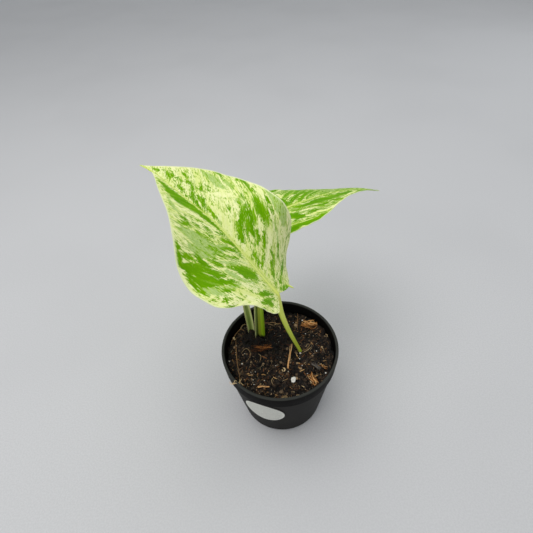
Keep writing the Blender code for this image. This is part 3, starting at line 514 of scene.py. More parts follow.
# Chips: name of the piece, node, slot, wood, seed, the side it leans to, centre x and y, bearing
# in degrees, length, width and height, and number of strands
CHIPS = (
    ("red_bark_strip", "bark_strip", "bark", "red_bark", 3, 0.0,
     (-0.0120, 0.0028), 2.0, (0.0155, 0.0044, 0.0018), 26),
    ("frayed_rear_chip", "wood_chip_rear", "wood_chips", "raw_wood", 5, 0.0,
     (0.0219, 0.0195), -8.0, (0.0115, 0.0064, 0.0024), 44),
    ("frayed_front_chip", "fibrous_chip", "wood_chips", "raw_wood", 8, 0.24,
     (0.0184, -0.0228), -66.0, (0.0095, 0.0048, 0.0020), 34),
    ("raw_flake", "wood_flake", "wood_chips", "raw_wood", 13, 0.0,
     (0.0268, -0.0142), -35.0, (0.0062, 0.0020, 0.0012), 20),
    ("grey_wood_flake", "grey_flake", "bark", "grey_wood", 21, 0.0,
     (0.0226, -0.0124), -48.0, (0.0080, 0.0032, 0.0010), 24),
    ("dry_wood_chip", "dry_chip", "wood_chips", "dry_wood", 34, 0.0,
     (0.0003, -0.0324), 6.0, (0.0048, 0.0026, 0.0014), 26),
)
CHIP_SEAT = 0.0004

# Strands of a chip, in parts of the chip's own size
STRAND_RINGS = 12
STRAND_SPREAD = 0.25
STRAND_LIMIT = 0.48
STRAND_REACHES = (0.22, 0.95)
STRAND_SKEW = 0.30
STRAND_BOW = 0.55
STRAND_WIDTHS = (0.018, 0.055)

# Straws: name of the piece, node, seed, centre x and y, bearing in degrees, length, and the
# radius at each end. Knots have their place along the straw and how much thicker they are.
STRAWS = (
    ("long_straw", "straw_stick", 4, (0.0062, -0.0045), 78.0, 0.0185, (0.0007, 0.0003)),
    ("short_straw", "front_straw", 6, (-0.0120, -0.0252), 1.0, 0.0072, (0.0006, 0.0005)),
)
STRAW_RINGS = 40
STRAW_BEND = 0.00035
STRAW_KNOTS = ((0.12, 0.30), (0.62, 0.16))
STRAW_KNOT_LENGTH = 0.03
STRAW_FIBRES = 5
STRAW_FIBRE_RINGS = 10
STRAW_FIBRE_RADII = (0.00016, 0.00006)

# Perlite
PERLITE_PLACE = (0.0067, -0.0215)
PERLITE_RADIUS = 0.0016
PERLITE_SEED = Vector((4.2, 1.1, 8.6))
PERLITE_FORM = (0.95, 1.15, 0.8)

# Ways that the front of a tube can face
UP = (0.0, 0.0, 1.0)
FRONT = (0.0, -1.0, 0.0)

# Finishes. A noise has its scale, detail, roughness and distortion. A layer has its source, the
# source's values where the layer starts and is full, its strength, and its colour from 0 to 255.
POT_NOISES = {
    "cloud": (60.0, 4.0, 0.6),
    "scratch": ((500.0, 500.0, 60.0), 4.0, 0.65),
    "dust": (900.0, 3.0, 0.6),
    "grain": (2600.0, 2.0, 0.5),
}
POT_GROUND = (36, 35, 34)
POT_LAYERS = (
    ("cloud", 0.35, 0.70, 1.0, (43, 42, 40)),
    # Painted shade: darker from the collar's foot up, on the collar and inside the rim
    ("level", COLLAR_FOOT - 0.0006, COLLAR_FOOT + 0.0002, 0.85, (4, 3, 3)),
    # Painted highlight: lighter along the lip
    ("level", POT_HEIGHT - 0.0012, POT_HEIGHT - 0.0002, 1.0, (56, 57, 54)),
    # Painted shadow: near black at the foot, where the pot meets the floor
    ("level", 0.0044, 0.0022, 0.95, (5, 5, 5)),
    ("scratch", 0.62, 0.74, 0.25, (78, 78, 79)),
)
POT_DUST = (104, 92, 78)
LABEL_NOISES = {"fibre": ((1800.0, 1800.0, 700.0), 5.0, 0.7), "cloud": (130.0, 3.0, 0.5)}
LABEL_GROUND = (192, 193, 186)
LABEL_LAYERS = (
    ("fibre", 0.30, 0.75, 1.0, (210, 211, 203)),
    ("cloud", 0.50, 0.75, 0.35, (178, 179, 171)),
    ("rim", 0.88, 0.95, 0.45, (226, 227, 220)),
)
SOIL_NOISES = {
    "clump": (130.0, 3.0, 0.6),
    "crumb": (700.0, 5.0, 0.75),
    "pale": (1500.0, 2.0, 0.5),
    "rust": (410.0, 2.0, 0.5),
}
SOIL_GROUND = (11, 7, 5)
SOIL_LAYERS = (
    ("crumb", 0.44, 0.66, 1.0, (98, 80, 64)),
    ("clump", 0.52, 0.72, 0.6, (48, 28, 15)),
    # Painted shade: near black where the soil lies low, in its hollows and between clods, and under the
    # leaves
    ("raised", 0.90, 0.20, 1.0, (5, 3, 2)),
    ("pale", 0.69, 0.74, 0.7, (142, 124, 104)),
    ("rust", 0.64, 0.72, 0.6, (88, 50, 28)),
)
PERLITE_GROUND = (178, 172, 160)
PERLITE_LAYERS = (
    ("pores", 0.05, 0.45, 1.0, (240, 239, 232)),
    ("cloud", 0.56, 0.72, 0.5, (160, 146, 122)),
)
FLOOR_NOISES = {"tooth": (900.0, 3.0, 0.6), "cloud": (5.0, 2.0, 0.5)}
FLOOR_GROUND = (196, 197, 199)
FLOOR_LAYERS = (
    ("tooth", 0.35, 0.65, 1.0, (203, 204, 206)),
    ("cloud", 0.40, 0.70, 0.3, (190, 191, 193)),
)

# Dark, middle and light colours of the small loose stuff
GRAIN_SHADES = ((10, 7, 5), (62, 48, 37), (176, 148, 114))
SPECK_SHADES = ((120, 104, 84), (190, 180, 160), (240, 238, 230))
SPLINTER_SHADES = ((30, 17, 9), (118, 76, 42), (222, 178, 116))
FIBRE_SHADES = ((44, 28, 16), (136, 102, 66), (222, 196, 150))
WOOD_SHADES = {
    "raw_wood": ((26, 14, 6), (176, 116, 60), (246, 202, 138)),
    "dry_wood": ((92, 72, 48), (158, 132, 92), (206, 184, 140)),
    "red_bark": ((20, 10, 4), (100, 56, 24), (186, 120, 58)),
    "grey_wood": ((34, 30, 28), (82, 76, 72), (132, 124, 116)),
}
STRAW_SHADES = ((140, 92, 52), (210, 156, 100), (240, 204, 150))

# Stalks: colours low and high on the stalk, of the painted shade on its left side and where it begins, then
# the lengths along it where the painted shadow at its foot ends and where it turns pale as the midrib
STALK_NOISES = {"lines": ((1500.0, 38.0, 0.0), 4.0, 0.6), "cloud": ((260.0, 60.0, 0.0), 3.0, 0.5)}
STALK_LOOKS = {
    "front_stalk": ((186, 200, 62), (222, 234, 112), (150, 168, 54), (0.15, 0.9), 0.0130, 0.080),
    "rear_stalk": ((136, 172, 26), (156, 190, 48), (128, 140, 38), (-0.1, 0.4), 0.0188, 0.096),
}
MIDRIB_SHADE = (216, 230, 128)
# Painted shadow at a stalk's foot, where it goes into the soil
STALK_FOOT_SHADOW = (30, 22, 14)
STALK_LINES = (
    ("lines", 0.54, 0.75, 0.30, (222, 232, 140)),
    ("lines", 0.50, 0.28, 0.35, (112, 140, 26)),
)
SHEATH_NOISES = {"lines": ((1900.0, 30.0, 0.0), 4.0, 0.6), "cloud": ((300.0, 90.0, 0.0), 3.0, 0.5)}
SHEATH_GROUND = (178, 198, 100)
SHEATH_LAYERS = (
    ("lines", 0.30, 0.66, 1.0, (228, 236, 168)),
    ("furrow", 0.40, 0.75, 0.85, (112, 136, 58)),
    ("cloud", 0.50, 0.70, 0.35, (140, 160, 70)),
    ("edge", 0.72, 0.95, 0.6, (206, 216, 156)),
    ("dried", 0.96, 1.08, 1.0, (196, 184, 132)),
)

# Blades: cream ground, grey-green clouds on it that are partly marbling and partly painted sheen, pale
# borders of the green marks, the vivid green inside them, and the veins and margin over all
BLADE_NOISES = {
    "streak": ((430.0, 160.0, 1.0), 4.0, 0.62, 0.5),
    "fleck": ((980.0, 540.0, 1.0), 3.0, 0.68, 0.6),
    "fine": ((2100.0, 1050.0, 1.0), 3.0, 0.65, 0.4),
    "cloud": ((180.0, 95.0, 1.0), 4.0, 0.60, 0.3),
    "hair": ((3200.0, 240.0, 1.0), 2.0, 0.5),
}
DRIFT_WEIGHTS = {"streak": 0.30, "fleck": 0.36, "fine": 0.34}
DRIFT = 19.0
HAZE = 3.0
MOTTLE_WEIGHTS = {"fine": 0.55, "fleck": 0.45}
CREAM_GROUND = (242, 246, 184)
CREAM_LAYERS = (
    ("cloud", 0.38, 0.66, 1.0, (226, 237, 146)),
    ("hair", 0.52, 0.70, 0.35, (249, 250, 206)),
    ("mottle", 0.49, 0.57, 0.62, (190, 214, 102)),
    ("mottle", 0.555, 0.61, 0.68, (138, 176, 52)),
)
GREY_AND_SHEEN_GROUND = (184, 212, 128)
GREY_AND_SHEEN_LAYERS = (("fine", 0.38, 0.60, 1.0, (150, 188, 98)),)
FADING_LAYERS = (
    ("deep", -0.85, -0.25, 0.55, (192, 215, 92)),
    ("deep", -0.38, 0.05, 0.80, (148, 186, 40)),
)
VIVID_GROUND = (96, 154, 1)
VIVID_LAYERS = (
    ("cloud", 0.40, 0.62, 1.0, (118, 173, 5)),
    ("hair", 0.50, 0.70, 0.25, (140, 188, 24)),
    ("deep", 0.90, 2.40, 0.50, (90, 152, 1)),
)
VEIN_LAYER = ("vein", 0.60, 0.98, 0.22, (206, 226, 108))
MIDDLE_SHADE = (198, 218, 88)
MARGIN_LAYER = ("margin", 0.984, 1.003, 0.85, (234, 241, 190))
UNDERSIDE_SHADE = (158, 186, 100)


# General helpers

def srgb(red, green, blue):
    """Linear colour from display values between 0 and 255."""
    values = [part / 255 for part in (red, green, blue)]
    return tuple(v / 12.92 if v <= 0.04045 else ((v + 0.055) / 1.055) ** 2.4 for v in values) + (1.0,)


def smooth_step(values, low, high):
    """Eased rise from 0 at the low bound to 1 at the high one."""
    part = np.clip((np.asarray(values, float) - low) / (high - low), 0.0, 1.0)
    return part * part * (3.0 - 2.0 * part)


def unit(vectors):
    """Vectors scaled to a length of one."""
    return vectors / np.maximum(np.linalg.norm(vectors, axis=-1, keepdims=True), 1e-12)


def spline(values, t):
    """Smooth curve through evenly spaced values, read at every t from 0 to 1."""
    values = np.asarray(values, float)
    t = np.asarray(t, float)
    last = len(values) - 1
    span = np.clip((t * last).astype(int), 0, last - 1)
    f = t * last - span
    if values.ndim > 1:
        f = f[..., None]
    before, start, end, after = (values[np.clip(span + k, 0, last)] for k in (-1, 0, 1, 2))
    bend = 2 * before - 5 * start + 4 * end - after
    snap = 3 * start - before - 3 * end + after
    return 0.5 * (2 * start + (end - before) * f + bend * f ** 2 + snap * f ** 3)


def turned(x, y, angle):
    """Coordinates turned about the upright axis."""
    return x * math.cos(angle) - y * math.sin(angle), x * math.sin(angle) + y * math.cos(angle)


def linked(name, data):
    """A new object in the scene."""
    made = bpy.data.objects.new(name, data)
    bpy.context.scene.collection.objects.link(made)
    return made


def add_piece(name, mesh, finishes, slot, *nodes):
    """Puts a finished piece in the scene in place of its nodes, riding on the plant's one body."""
    piece = linked(name, mesh)
    for finish in finishes:
        mesh.materials.append(finish)
    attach(piece, "root")
    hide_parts(*nodes)


class Shape:
    """Points, faces and per-point values of one piece, gathered part by part."""

    def __init__(self):
        self.points = []
        self.faces = []
        self.finishes = []
        self.values = {}
        self.count = 0

    def add(self, points, faces, finish=0, **values):
        points = np.asarray(points, float).reshape(-1, 3)
        self.points.append(points)
        self.faces.extend([[index + self.count for index in face] for face in faces])
        self.finishes.extend([finish] * len(faces))
        for name, value in values.items():
            if np.ndim(value) == 0:
                value = np.full(len(points), value, float)
            self.values.setdefault(name, {})[self.count] = value.reshape(len(points), -1)
        self.count += len(points)

    def mesh(self, name, sharp_angle=None, weld=False):
        mesh = bpy.data.meshes.new(name)
        mesh.from_pydata(np.concatenate(self.points).tolist(), [], self.faces)
        for value_name, stretches in self.values.items():
            width = max(stretch.shape[1] for stretch in stretches.values())
            filled = np.zeros((self.count, width))
            for start, stretch in stretches.items():
                filled[start:start + len(stretch)] = stretch
            kind, field = ("FLOAT_VECTOR", "vector") if width == 3 else ("FLOAT", "value")
            mesh.attributes.new(value_name, kind, "POINT").data.foreach_set(field, filled.ravel())
        mesh.polygons.foreach_set("material_index", self.finishes)
        if weld:
            bm = bmesh.new()
            bm.from_mesh(mesh)
            bmesh.ops.remove_doubles(bm, verts=bm.verts, dist=MERGE)
            bmesh.ops.dissolve_degenerate(bm, edges=bm.edges, dist=MERGE)
            bm.to_mesh(mesh)
            bm.free()
        mesh.shade_smooth()
        if sharp_angle is not None:
            mesh.set_sharp_from_angle(angle=math.radians(sharp_angle))
        return mesh


def grid_faces(rows, columns, flip=False):
    """Quads of a grid of rows by columns points."""
    faces = []
    for row in range(rows - 1):
        for column in range(columns - 1):
            a = row * columns + column
            quad = [a, a + 1, a + columns + 1, a + columns]
            faces.append(quad[::-1] if flip else quad)
    return faces


def border_loop(rows, columns):
    """Numbers of the points round the border of a grid."""
    loop = list(range(columns))
    loop += [row * columns + columns - 1 for row in range(1, rows)]
    loop += [(rows - 1) * columns + column for column in range(columns - 2, -1, -1)]
    return loop + [row * columns for row in range(rows - 2, 0, -1)]


def shell(points, normals, half, lift=0.0):
    """Both sides of a thin sheet and its closed border: returns points and faces.

    The first half of the points is the side that the normals point out of.
    """
    rows, columns = points.shape[:2]
    half = np.broadcast_to(half, points.shape[:2])[..., None]
    lift = np.broadcast_to(lift, points.shape[:2])[..., None]
    upper = points + normals * (lift + half)
    lower = points + normals * (lift - half)
    count = rows * columns
    centre = points[rows // 2, columns // 2]
    ahead = points[rows // 2 + 1, columns // 2] - centre
    aside = points[rows // 2, columns // 2 + 1] - centre
    flip = np.dot(np.cross(aside, ahead), normals[rows // 2, columns // 2]) < 0
    faces = grid_faces(rows, columns, flip)
    faces += [[index + count for index in face[::-1]] for face in faces]
    loop = border_loop(rows, columns)
    for start, end in zip(loop, loop[1:] + loop[:1]):
        wall = [end, start, start + count, end + count]
        faces.append(wall[::-1] if flip else wall)
    return np.concatenate([upper.reshape(-1, 3), lower.reshape(-1, 3)]), faces


def both_sides(values, width=1):
    """The values of a sheet's points, and the same again for its other side."""
    return np.tile(values.reshape(-1, width), (2, 1))


def tube_rings(places, radii, sides, facing, squash):
    """Rings round a route: returns the ring points, each ring's directions, and its angles."""
    ahead = unit(np.gradient(places, axis=0))
    front = np.zeros_like(places)
    carried = np.array(facing)
    for k, course in enumerate(ahead):
        carried = carried - course * np.dot(carried, course)
        carried = carried / np.linalg.norm(carried)
        front[k] = carried
    aside = np.cross(ahead, front)
    angles = np.linspace(0, 2 * np.pi, sides, endpoint=False)
    ways = front[:, None] * np.cos(angles)[None, :, None] + aside[:, None] * np.sin(angles)[None, :, None]
    reach = radii[:, None] * np.ones(sides)
    if squash is not None:
        reach = reach * squash(angles[None, :], np.linspace(0, 1, len(places))[:, None])
    return places[:, None] + ways * reach[..., None], ways, angles


def tube_faces(rings, sides):
    """Side quads and two end fans of a tube whose end centres are its last two points."""
    faces = []
    for ring in range(rings - 1):
        for side in range(sides):
            after = (side + 1) % sides
            a = ring * sides
            faces.append([a + side, a + after, a + sides + after, a + sides + side])
    start, end = rings * sides, rings * sides + 1
    for side in range(sides):
        after = (side + 1) % sides
        faces.append([start, after, side])
        faces.append([end, (rings - 1) * sides + side, (rings - 1) * sides + after])
    return faces


def flat_strand(angles, _):
    """Cross-section of a strand that is wider than it is thick."""
    return 0.40 + 0.60 * np.abs(np.sin(angles))


def add_tube(shape, places, radii, sides, facing=UP, finish=0, squash=None, tone=0.0, start=0.0):
    """Adds a closed tube whose flow value runs round it, along it and towards the left."""
    rings, ways, angles = tube_rings(places, radii, sides, facing, squash)
    along = start + np.concatenate([[0.0], np.cumsum(np.linalg.norm(np.diff(places, axis=0), axis=1))])
    flow = np.stack([
        np.broadcast_to(angles[None, :] * np.mean(radii), rings.shape[:2]),
        np.broadcast_to(along[:, None], rings.shape[:2]),
        -ways[..., 0]], -1).reshape(-1, 3)
    points = np.concatenate([rings.reshape(-1, 3), [places[0], places[-1]]])
    flow = np.concatenate([flow, flow[:1], flow[-1:]])
    shape.add(points, tube_faces(len(places), sides), finish, flow=flow, tone=tone)


def ball(subdivisions):
    """Points and faces of a round lump of radius one."""
    bm = bmesh.new()
    bmesh.ops.create_icosphere(bm, subdivisions=subdivisions, radius=1.0)
    bm.verts.ensure_lookup_table()
    points = np.array([vert.co[:] for vert in bm.verts])
    faces = [[vert.index for vert in face.verts] for face in bm.faces]
    bm.free()
    return points, faces


# Finishes

class Finish:
    """One node material, built a socket at a time."""

    def __init__(self, name):
        self.material = bpy.data.materials.new(name)
        self.material.use_nodes = True
        self.tree = self.material.node_tree
        self.shader = self.tree.nodes["Principled BSDF"]

    def put(self, socket, value):
        if isinstance(value, bpy.types.NodeSocket):
            self.tree.links.new(value, socket)
        else:
            socket.default_value = value

    def node(self, kind, values, **settings):
        made = self.tree.nodes.new(kind)
        for name, value in settings.items():
            setattr(made, name, value)
        for key, value in values.items():
            self.put(made.inputs[key], value)
        return made

    def place(self):
        return self.node("ShaderNodeTexCoord", {}).outputs["Object"]

    def attribute(self, name, output="Fac"):
        return self.node("ShaderNodeAttribute", {}, attribute_name=name).outputs[output]

    def vector_maths(self, operation, first, second):
        return self.node("ShaderNodeVectorMath", {0: first, 1: second}, operation=operation).outputs[0]

    def noise(self, vector, scale, detail, roughness, distortion=0.0):
        """Cloudy value. Three scales stretch it along the axes."""
        if isinstance(scale, tuple):
            vector = self.vector_maths("MULTIPLY", vector, scale)
            scale = 1.0
        values = {"Vector": vector, "Scale": scale, "Detail": detail, "Roughness": roughness}
        values["Distortion"] = distortion
        return self.node("ShaderNodeTexNoise", values).outputs["Fac"]

    def noises(self, vector, table):
        return {name: self.noise(vector, *values) for name, values in table.items()}

    def cells(self, vector, scale):
        return self.node("ShaderNodeTexVoronoi", {"Vector": vector, "Scale": scale}).outputs["Distance"]

    def maths(self, operation, first, second):
        return self.node("ShaderNodeMath", {0: first, 1: second}, operation=operation).outputs[0]

    def times(self, first, second):
        return self.maths("MULTIPLY", first, second)

    def plus(self, first, second):
        return self.maths("ADD", first, second)

    def less(self, first, second):
        return self.maths("SUBTRACT", first, second)

    def weighted(self, sources, weights):
        """Sum of the sources, each times its weight."""
        first, *others = [self.times(sources[name], weight) for name, weight in weights.items()]
        for other in others:
            first = self.plus(first, other)
        return first

    def swayed(self, value, noise_value, reach):
        """A value pushed up and down by a noise."""
        return self.plus(value, self.times(self.less(noise_value, 0.5), reach))

    def step(self, value, low, high):
        values = {"Value": value, "From Min": low, "From Max": high}
        return self.node("ShaderNodeMapRange", values, interpolation_type="SMOOTHSTEP").outputs["Result"]

    def span(self, value, low, high):
        """Spreads a value from 0 to 1 between two bounds."""
        values = {"Value": value, "To Min": low, "To Max": high}
        return self.node("ShaderNodeMapRange", values).outputs["Result"]

    def blend(self, factor, first, second):
        made = self.node("ShaderNodeMix", {}, data_type="RGBA")
        self.put(made.inputs["Factor"], factor)
        self.put(made.inputs[6], first)
        self.put(made.inputs[7], second)
        return made.outputs[2]

    def painted(self, color, sources, layers):
        """A colour with layers over it, each where its source passes from its start to its full value."""
        for source, start, full, strength, shade in layers:
            mask = self.times(self.step(sources[source], start, full), strength)
            color = self.blend(mask, color, srgb(*shade))
        return color

    def relief(self, height, depth, strength, under=None):
        """Small bumps of a height socket, the tallest as deep as given."""
        values = {"Height": height, "Distance": depth, "Strength": strength}
        if under is not None:
            values["Normal"] = under
        return self.node("ShaderNodeBump", values).outputs["Normal"]

    def done(self, color, roughness, normal, shine=0.5):
        values = {"Base Color": color, "Roughness": roughness, "Normal": normal, "Specular IOR Level": shine}
        for name, value in values.items():
            self.put(self.shader.inputs[name], value)
        return self.material


def pot_finish():
    """Thin black moulded plastic, satin, with faint scuffs, draw lines and soil dust, and painted light:
    painted shade on the collar, a painted highlight along the lip and a painted shadow at the foot.
    """
    finish = Finish("black_plastic")
    place = finish.place()
    sources = finish.noises(place, POT_NOISES)
    sources["level"] = finish.node("ShaderNodeSeparateXYZ", {0: place}).outputs[2]
    color = finish.painted(srgb(*POT_GROUND), sources, POT_LAYERS)
    specks = finish.times(finish.step(sources["dust"], 0.68, 0.74), finish.step(sources["cloud"], 0.48, 0.60))
    color = finish.blend(finish.times(specks, 0.5), color, srgb(*POT_DUST))
    scuffs = finish.step(sources["scratch"], 0.62, 0.74)
    roughness = finish.plus(finish.span(sources["cloud"], 0.42, 0.58), finish.times(scuffs, 0.15))
    normal = finish.relief(sources["grain"], 0.00003, 0.35)
    normal = finish.relief(sources["scratch"], 0.00005, 0.25, normal)
    return finish.done(color, roughness, normal, 0.025)


def label_finish():
    """Bare matt paper, with fine fibres, faint greying and a paler border."""
    finish = Finish("label_paper")
    sources = finish.noises(finish.place(), LABEL_NOISES)
    sources["rim"] = finish.attribute("rim")
    color = finish.painted(srgb(*LABEL_GROUND), sources, LABEL_LAYERS)
    fibre = sources["fibre"]
    return finish.done(color, finish.span(fibre, 0.62, 0.82), finish.relief(fibre, 0.00004, 0.5))


def soil_finish():
    """Dark damp peat with painted shade, near black in its hollows and under the leaves, brown crumbs, wet
    glints and a few pale grains.
    """
    finish = Finish("potting_mix")
    place = finish.place()
    sources = finish.noises(place, SOIL_NOISES)
    sources["raised"] = finish.attribute("raised")
    color = finish.painted(srgb(*SOIL_GROUND), sources, SOIL_LAYERS)
    normal = finish.relief(sources["crumb"], 0.0007, 1.0)
    normal = finish.relief(finish.cells(place, 1100.0), 0.0003, 0.8, normal)
    return finish.done(color, finish.span(sources["crumb"], 0.35, 0.95), normal, 0.30)


def toned_color(finish, noise_value, reach, shades, middle):
    """Colour of small pieces, each with its own tone from dark to light, swayed by a noise."""
    tone = finish.swayed(finish.attribute("tone"), noise_value, reach)
    dark, mid, light = (srgb(*shade) for shade in shades)
    color = finish.blend(finish.step(tone, 0.0, middle), dark, mid)
    return finish.blend(finish.step(tone, 0.5, 1.0), color, light)


def scatter_finish(name, shades):
    """Finish of many small crumbs."""
    finish = Finish(name)
    fine = finish.noise(finish.place(), 1400.0, 3.0, 0.6)
    color = toned_color(finish, fine, 0.5, shades, 0.55)
    return finish.done(color, finish.span(fine, 0.60, 0.85), finish.relief(fine, 0.0002, 0.6), 0.25)


def wood_finish(name, shades, rough=0.8):
    """Splintery wood whose grain runs along each strand."""
    finish = Finish(name)
    grain = finish.noise(finish.attribute("flow", "Vector"), (5200.0, 300.0, 2.0), 4.0, 0.6)
    color = toned_color(finish, grain, 0.9, shades, 0.5)
    normal = finish.relief(grain, 0.00012, 0.7)
    return finish.done(color, finish.span(grain, rough - 0.2, rough), normal, 0.20)


def stalk_finish(name):
    """Smooth fleshy stalk: painted shadow at its foot by the soil, painted shade on its left side, and pale
    as the midrib.
    """
    low, high, shade, shaded, foot, reach = STALK_LOOKS[name]
    finish = Finish(name)
    flow = finish.attribute("flow", "Vector")
    split = finish.node("ShaderNodeSeparateXYZ", {0: flow}).outputs
    sources = finish.noises(flow, STALK_NOISES)
    sources["climb"] = finish.swayed(split[1], sources["cloud"], 0.02)
    sources["side"] = finish.swayed(split[2], sources["lines"], 0.5)
    color = finish.painted(srgb(*low), sources, (
        ("climb", 0.016, reach * 0.85, 1.0, high),
        # Painted shade on the stalk's left side
        ("side", *shaded, 1.0, shade),
        ("climb", reach - 0.004, reach + 0.010, 1.0, MIDRIB_SHADE),
        *STALK_LINES,
        # Painted shadow at the stalk's foot
        ("climb", foot + 0.001, foot - 0.0015, 1.0, STALK_FOOT_SHADOW)))
    normal = finish.relief(sources["lines"], 0.00006, 0.6)
    return finish.done(color, finish.span(sources["cloud"], 0.32, 0.48), normal, 0.22)


def sheath_finish():
    """Thin sheath, pale at its edges and green in its furrow, with fine parallel veins."""
    finish = Finish("pale_sheath")
    sources = finish.noises(finish.attribute("flow", "Vector"), SHEATH_NOISES)
    lines = sources["lines"]
    sources["edge"] = finish.attribute("edge")
    sources["furrow"] = finish.swayed(finish.attribute("middle"), lines, 0.7)
    sources["dried"] = finish.plus(sources["edge"], finish.times(sources["cloud"], 0.12))
    color = finish.painted(srgb(*SHEATH_GROUND), sources, SHEATH_LAYERS)
    return finish.done(color, finish.span(lines, 0.42, 0.60), finish.relief(lines, 0.00008, 0.7))


def blade_finish(name, seed, bareness, spread):
    """Waxy marbled blade: cream ground, grey-green clouds that are partly painted sheen, and vivid green
    marks along the veins.

    The marks' values tell how deep inside a mark a place lies, in millimetres, and the streaks
    and flecks push a mark's edge to and fro. Bareness is how far the ground is kept clear, and
    spread is how far the cream marks reach past their own edges.
    """
    finish = Finish(name)
    moved = finish.vector_maths("ADD", finish.attribute("flow", "Vector"), (seed, seed * 2, seed))
    sources = finish.noises(moved, BLADE_NOISES)
    cream, grey, green, rim, under = (
        finish.attribute(part) for part in ("cream", "grey", "green", "rim", "under"))
    drift = finish.swayed(0.0, finish.weighted(sources, DRIFT_WEIGHTS), DRIFT)
    haze = finish.swayed(0.0, sources["cloud"], HAZE)
    clear = finish.times(finish.maths("MAXIMUM", finish.plus(cream, spread), 0.0), 1.6)

    mottle = finish.weighted(sources, MOTTLE_WEIGHTS)
    sources["mottle"] = finish.less(mottle, finish.times(finish.step(cream, -0.2, 0.6), 0.035))
    soft = finish.plus(finish.plus(finish.times(grey, 1.15), finish.times(drift, 0.62)), haze)
    cloudy = finish.times(finish.step(finish.less(soft, clear), -0.20, 0.60), 0.88)
    deep = finish.plus(finish.plus(green, drift), finish.times(haze, 0.35))
    sources["deep"] = finish.less(deep, finish.plus(clear, bareness))
    sources["vein"] = finish.attribute("vein")
    sources["margin"] = finish.plus(rim, finish.times(sources["fleck"], 0.02))

    ground = finish.painted(srgb(*CREAM_GROUND), sources, CREAM_LAYERS)
    # Grey-green clouds, partly marbling and partly painted sheen
    color = finish.blend(cloudy, ground, finish.painted(srgb(*GREY_AND_SHEEN_GROUND), sources, GREY_AND_SHEEN_LAYERS))
    color = finish.painted(color, sources, FADING_LAYERS)
    vivid = finish.painted(srgb(*VIVID_GROUND), sources, VIVID_LAYERS)
    color = finish.blend(finish.step(sources["deep"], -0.02, 0.30), color, vivid)
    color = finish.painted(color, sources, (VEIN_LAYER,))
    color = finish.blend(finish.times(finish.attribute("middle"), 0.80), color, srgb(*MIDDLE_SHADE))
    color = finish.painted(color, sources, (MARGIN_LAYER,))
    color = finish.blend(finish.times(under, 0.42), color, srgb(*UNDERSIDE_SHADE))

    roughness = finish.plus(finish.span(sources["cloud"], 0.34, 0.48), finish.times(under, 0.18))
    normal = finish.relief(sources["hair"], 0.00008, 0.35)
    normal = finish.relief(sources["streak"], 0.00022, 0.35, normal)
    return finish.done(color, roughness, normal, 0.03)


def perlite_finish():
    """Chalky white grain with pores."""
    finish = Finish("perlite")
    place = finish.place()
    pores = finish.cells(place, 1500.0)
    cloud = finish.noise(place, 700.0, 3.0, 0.6)
    color = finish.painted(srgb(*PERLITE_GROUND), {"pores": pores, "cloud": cloud}, PERLITE_LAYERS)
    return finish.done(color, finish.span(cloud, 0.78, 0.95), finish.relief(pores, 0.0002, 0.8))


def floor_finish():
    """Plain pale studio floor with a fine tooth."""
    finish = Finish("pale_floor")
    sources = finish.noises(finish.place(), FLOOR_NOISES)
    color = finish.painted(srgb(*FLOOR_GROUND), sources, FLOOR_LAYERS)
    return finish.done(color, 0.85, finish.relief(sources["tooth"], 0.0002, 0.3))


# Pot and label

def wall_radius(height):
    """Outer radius of the wall at a height."""
    part = (height - FOOT_HEIGHT) / (COLLAR_FOOT - FOOT_HEIGHT)
    return WALL_FOOT_RADIUS + (WALL_TOP_RADIUS - WALL_FOOT_RADIUS) * part


def inner_profile():
    """Inside of the pot from the floor's edge up to the lip."""
    floor_edge = wall_radius(FLOOR + FLOOR_FILLET) - WALL
    fillet = [
        (floor_edge - FLOOR_FILLET * (1 - math.sin(a)), FLOOR + FLOOR_FILLET * (1 - math.cos(a)))
        for a in np.linspace(0, math.pi / 2, FILLET_STEPS)]
    return fillet + [
        (wall_radius(COLLAR_FOOT - WALL) - WALL, COLLAR_FOOT - WALL),
        (COLLAR_FOOT_RADIUS - WALL - RIM_EASE, COLLAR_FOOT + WALL),
        (RIM_RADIUS - RIM_WIDTH, POT_HEIGHT - RIM_EASE),
    ]


def rounded(corners, radius):
    """Outline whose inner corners are eased by short curves."""
    eased = [corners[0]]
    for before, corner, after in zip(corners, corners[1:], corners[2:]):
        corner, before, after = (np.array(spot) for spot in (corner, before, after))
        back = before - corner
        onward = after - corner
        cut = min(radius, np.linalg.norm(back) * ROUNDING_SHARE, np.linalg.norm(onward) * ROUNDING_SHARE)
        start = corner + back / np.linalg.norm(back) * cut
        end = corner + onward / np.linalg.norm(onward) * cut
        for f in np.linspace(0, 1, ROUNDING_STEPS):
            eased.append(tuple(start * (1 - f) ** 2 + corner * 2 * f * (1 - f) + end * f ** 2))
    return eased + [corners[-1]]


def drain_cutter():
    """Ring of upright pins that cut the drain holes."""
    drill = bmesh.new()
    for hole in range(DRAIN_COUNT):
        angle = 2 * math.pi * hole / DRAIN_COUNT
        made = bmesh.ops.create_cone(
            drill, cap_ends=True, segments=DRAIN_STEPS, radius1=DRAIN_RADIUS, radius2=DRAIN_RADIUS,
            depth=FLOOR * 4)
        spot = Vector((math.cos(angle), math.sin(angle), 0.0)) * DRAIN_CIRCLE
        bmesh.ops.translate(drill, verts=made["verts"], vec=spot)
    mesh = bpy.data.meshes.new("drain_cutter")
    drill.to_mesh(mesh)
    drill.free()
    return linked("drain_cutter", mesh)


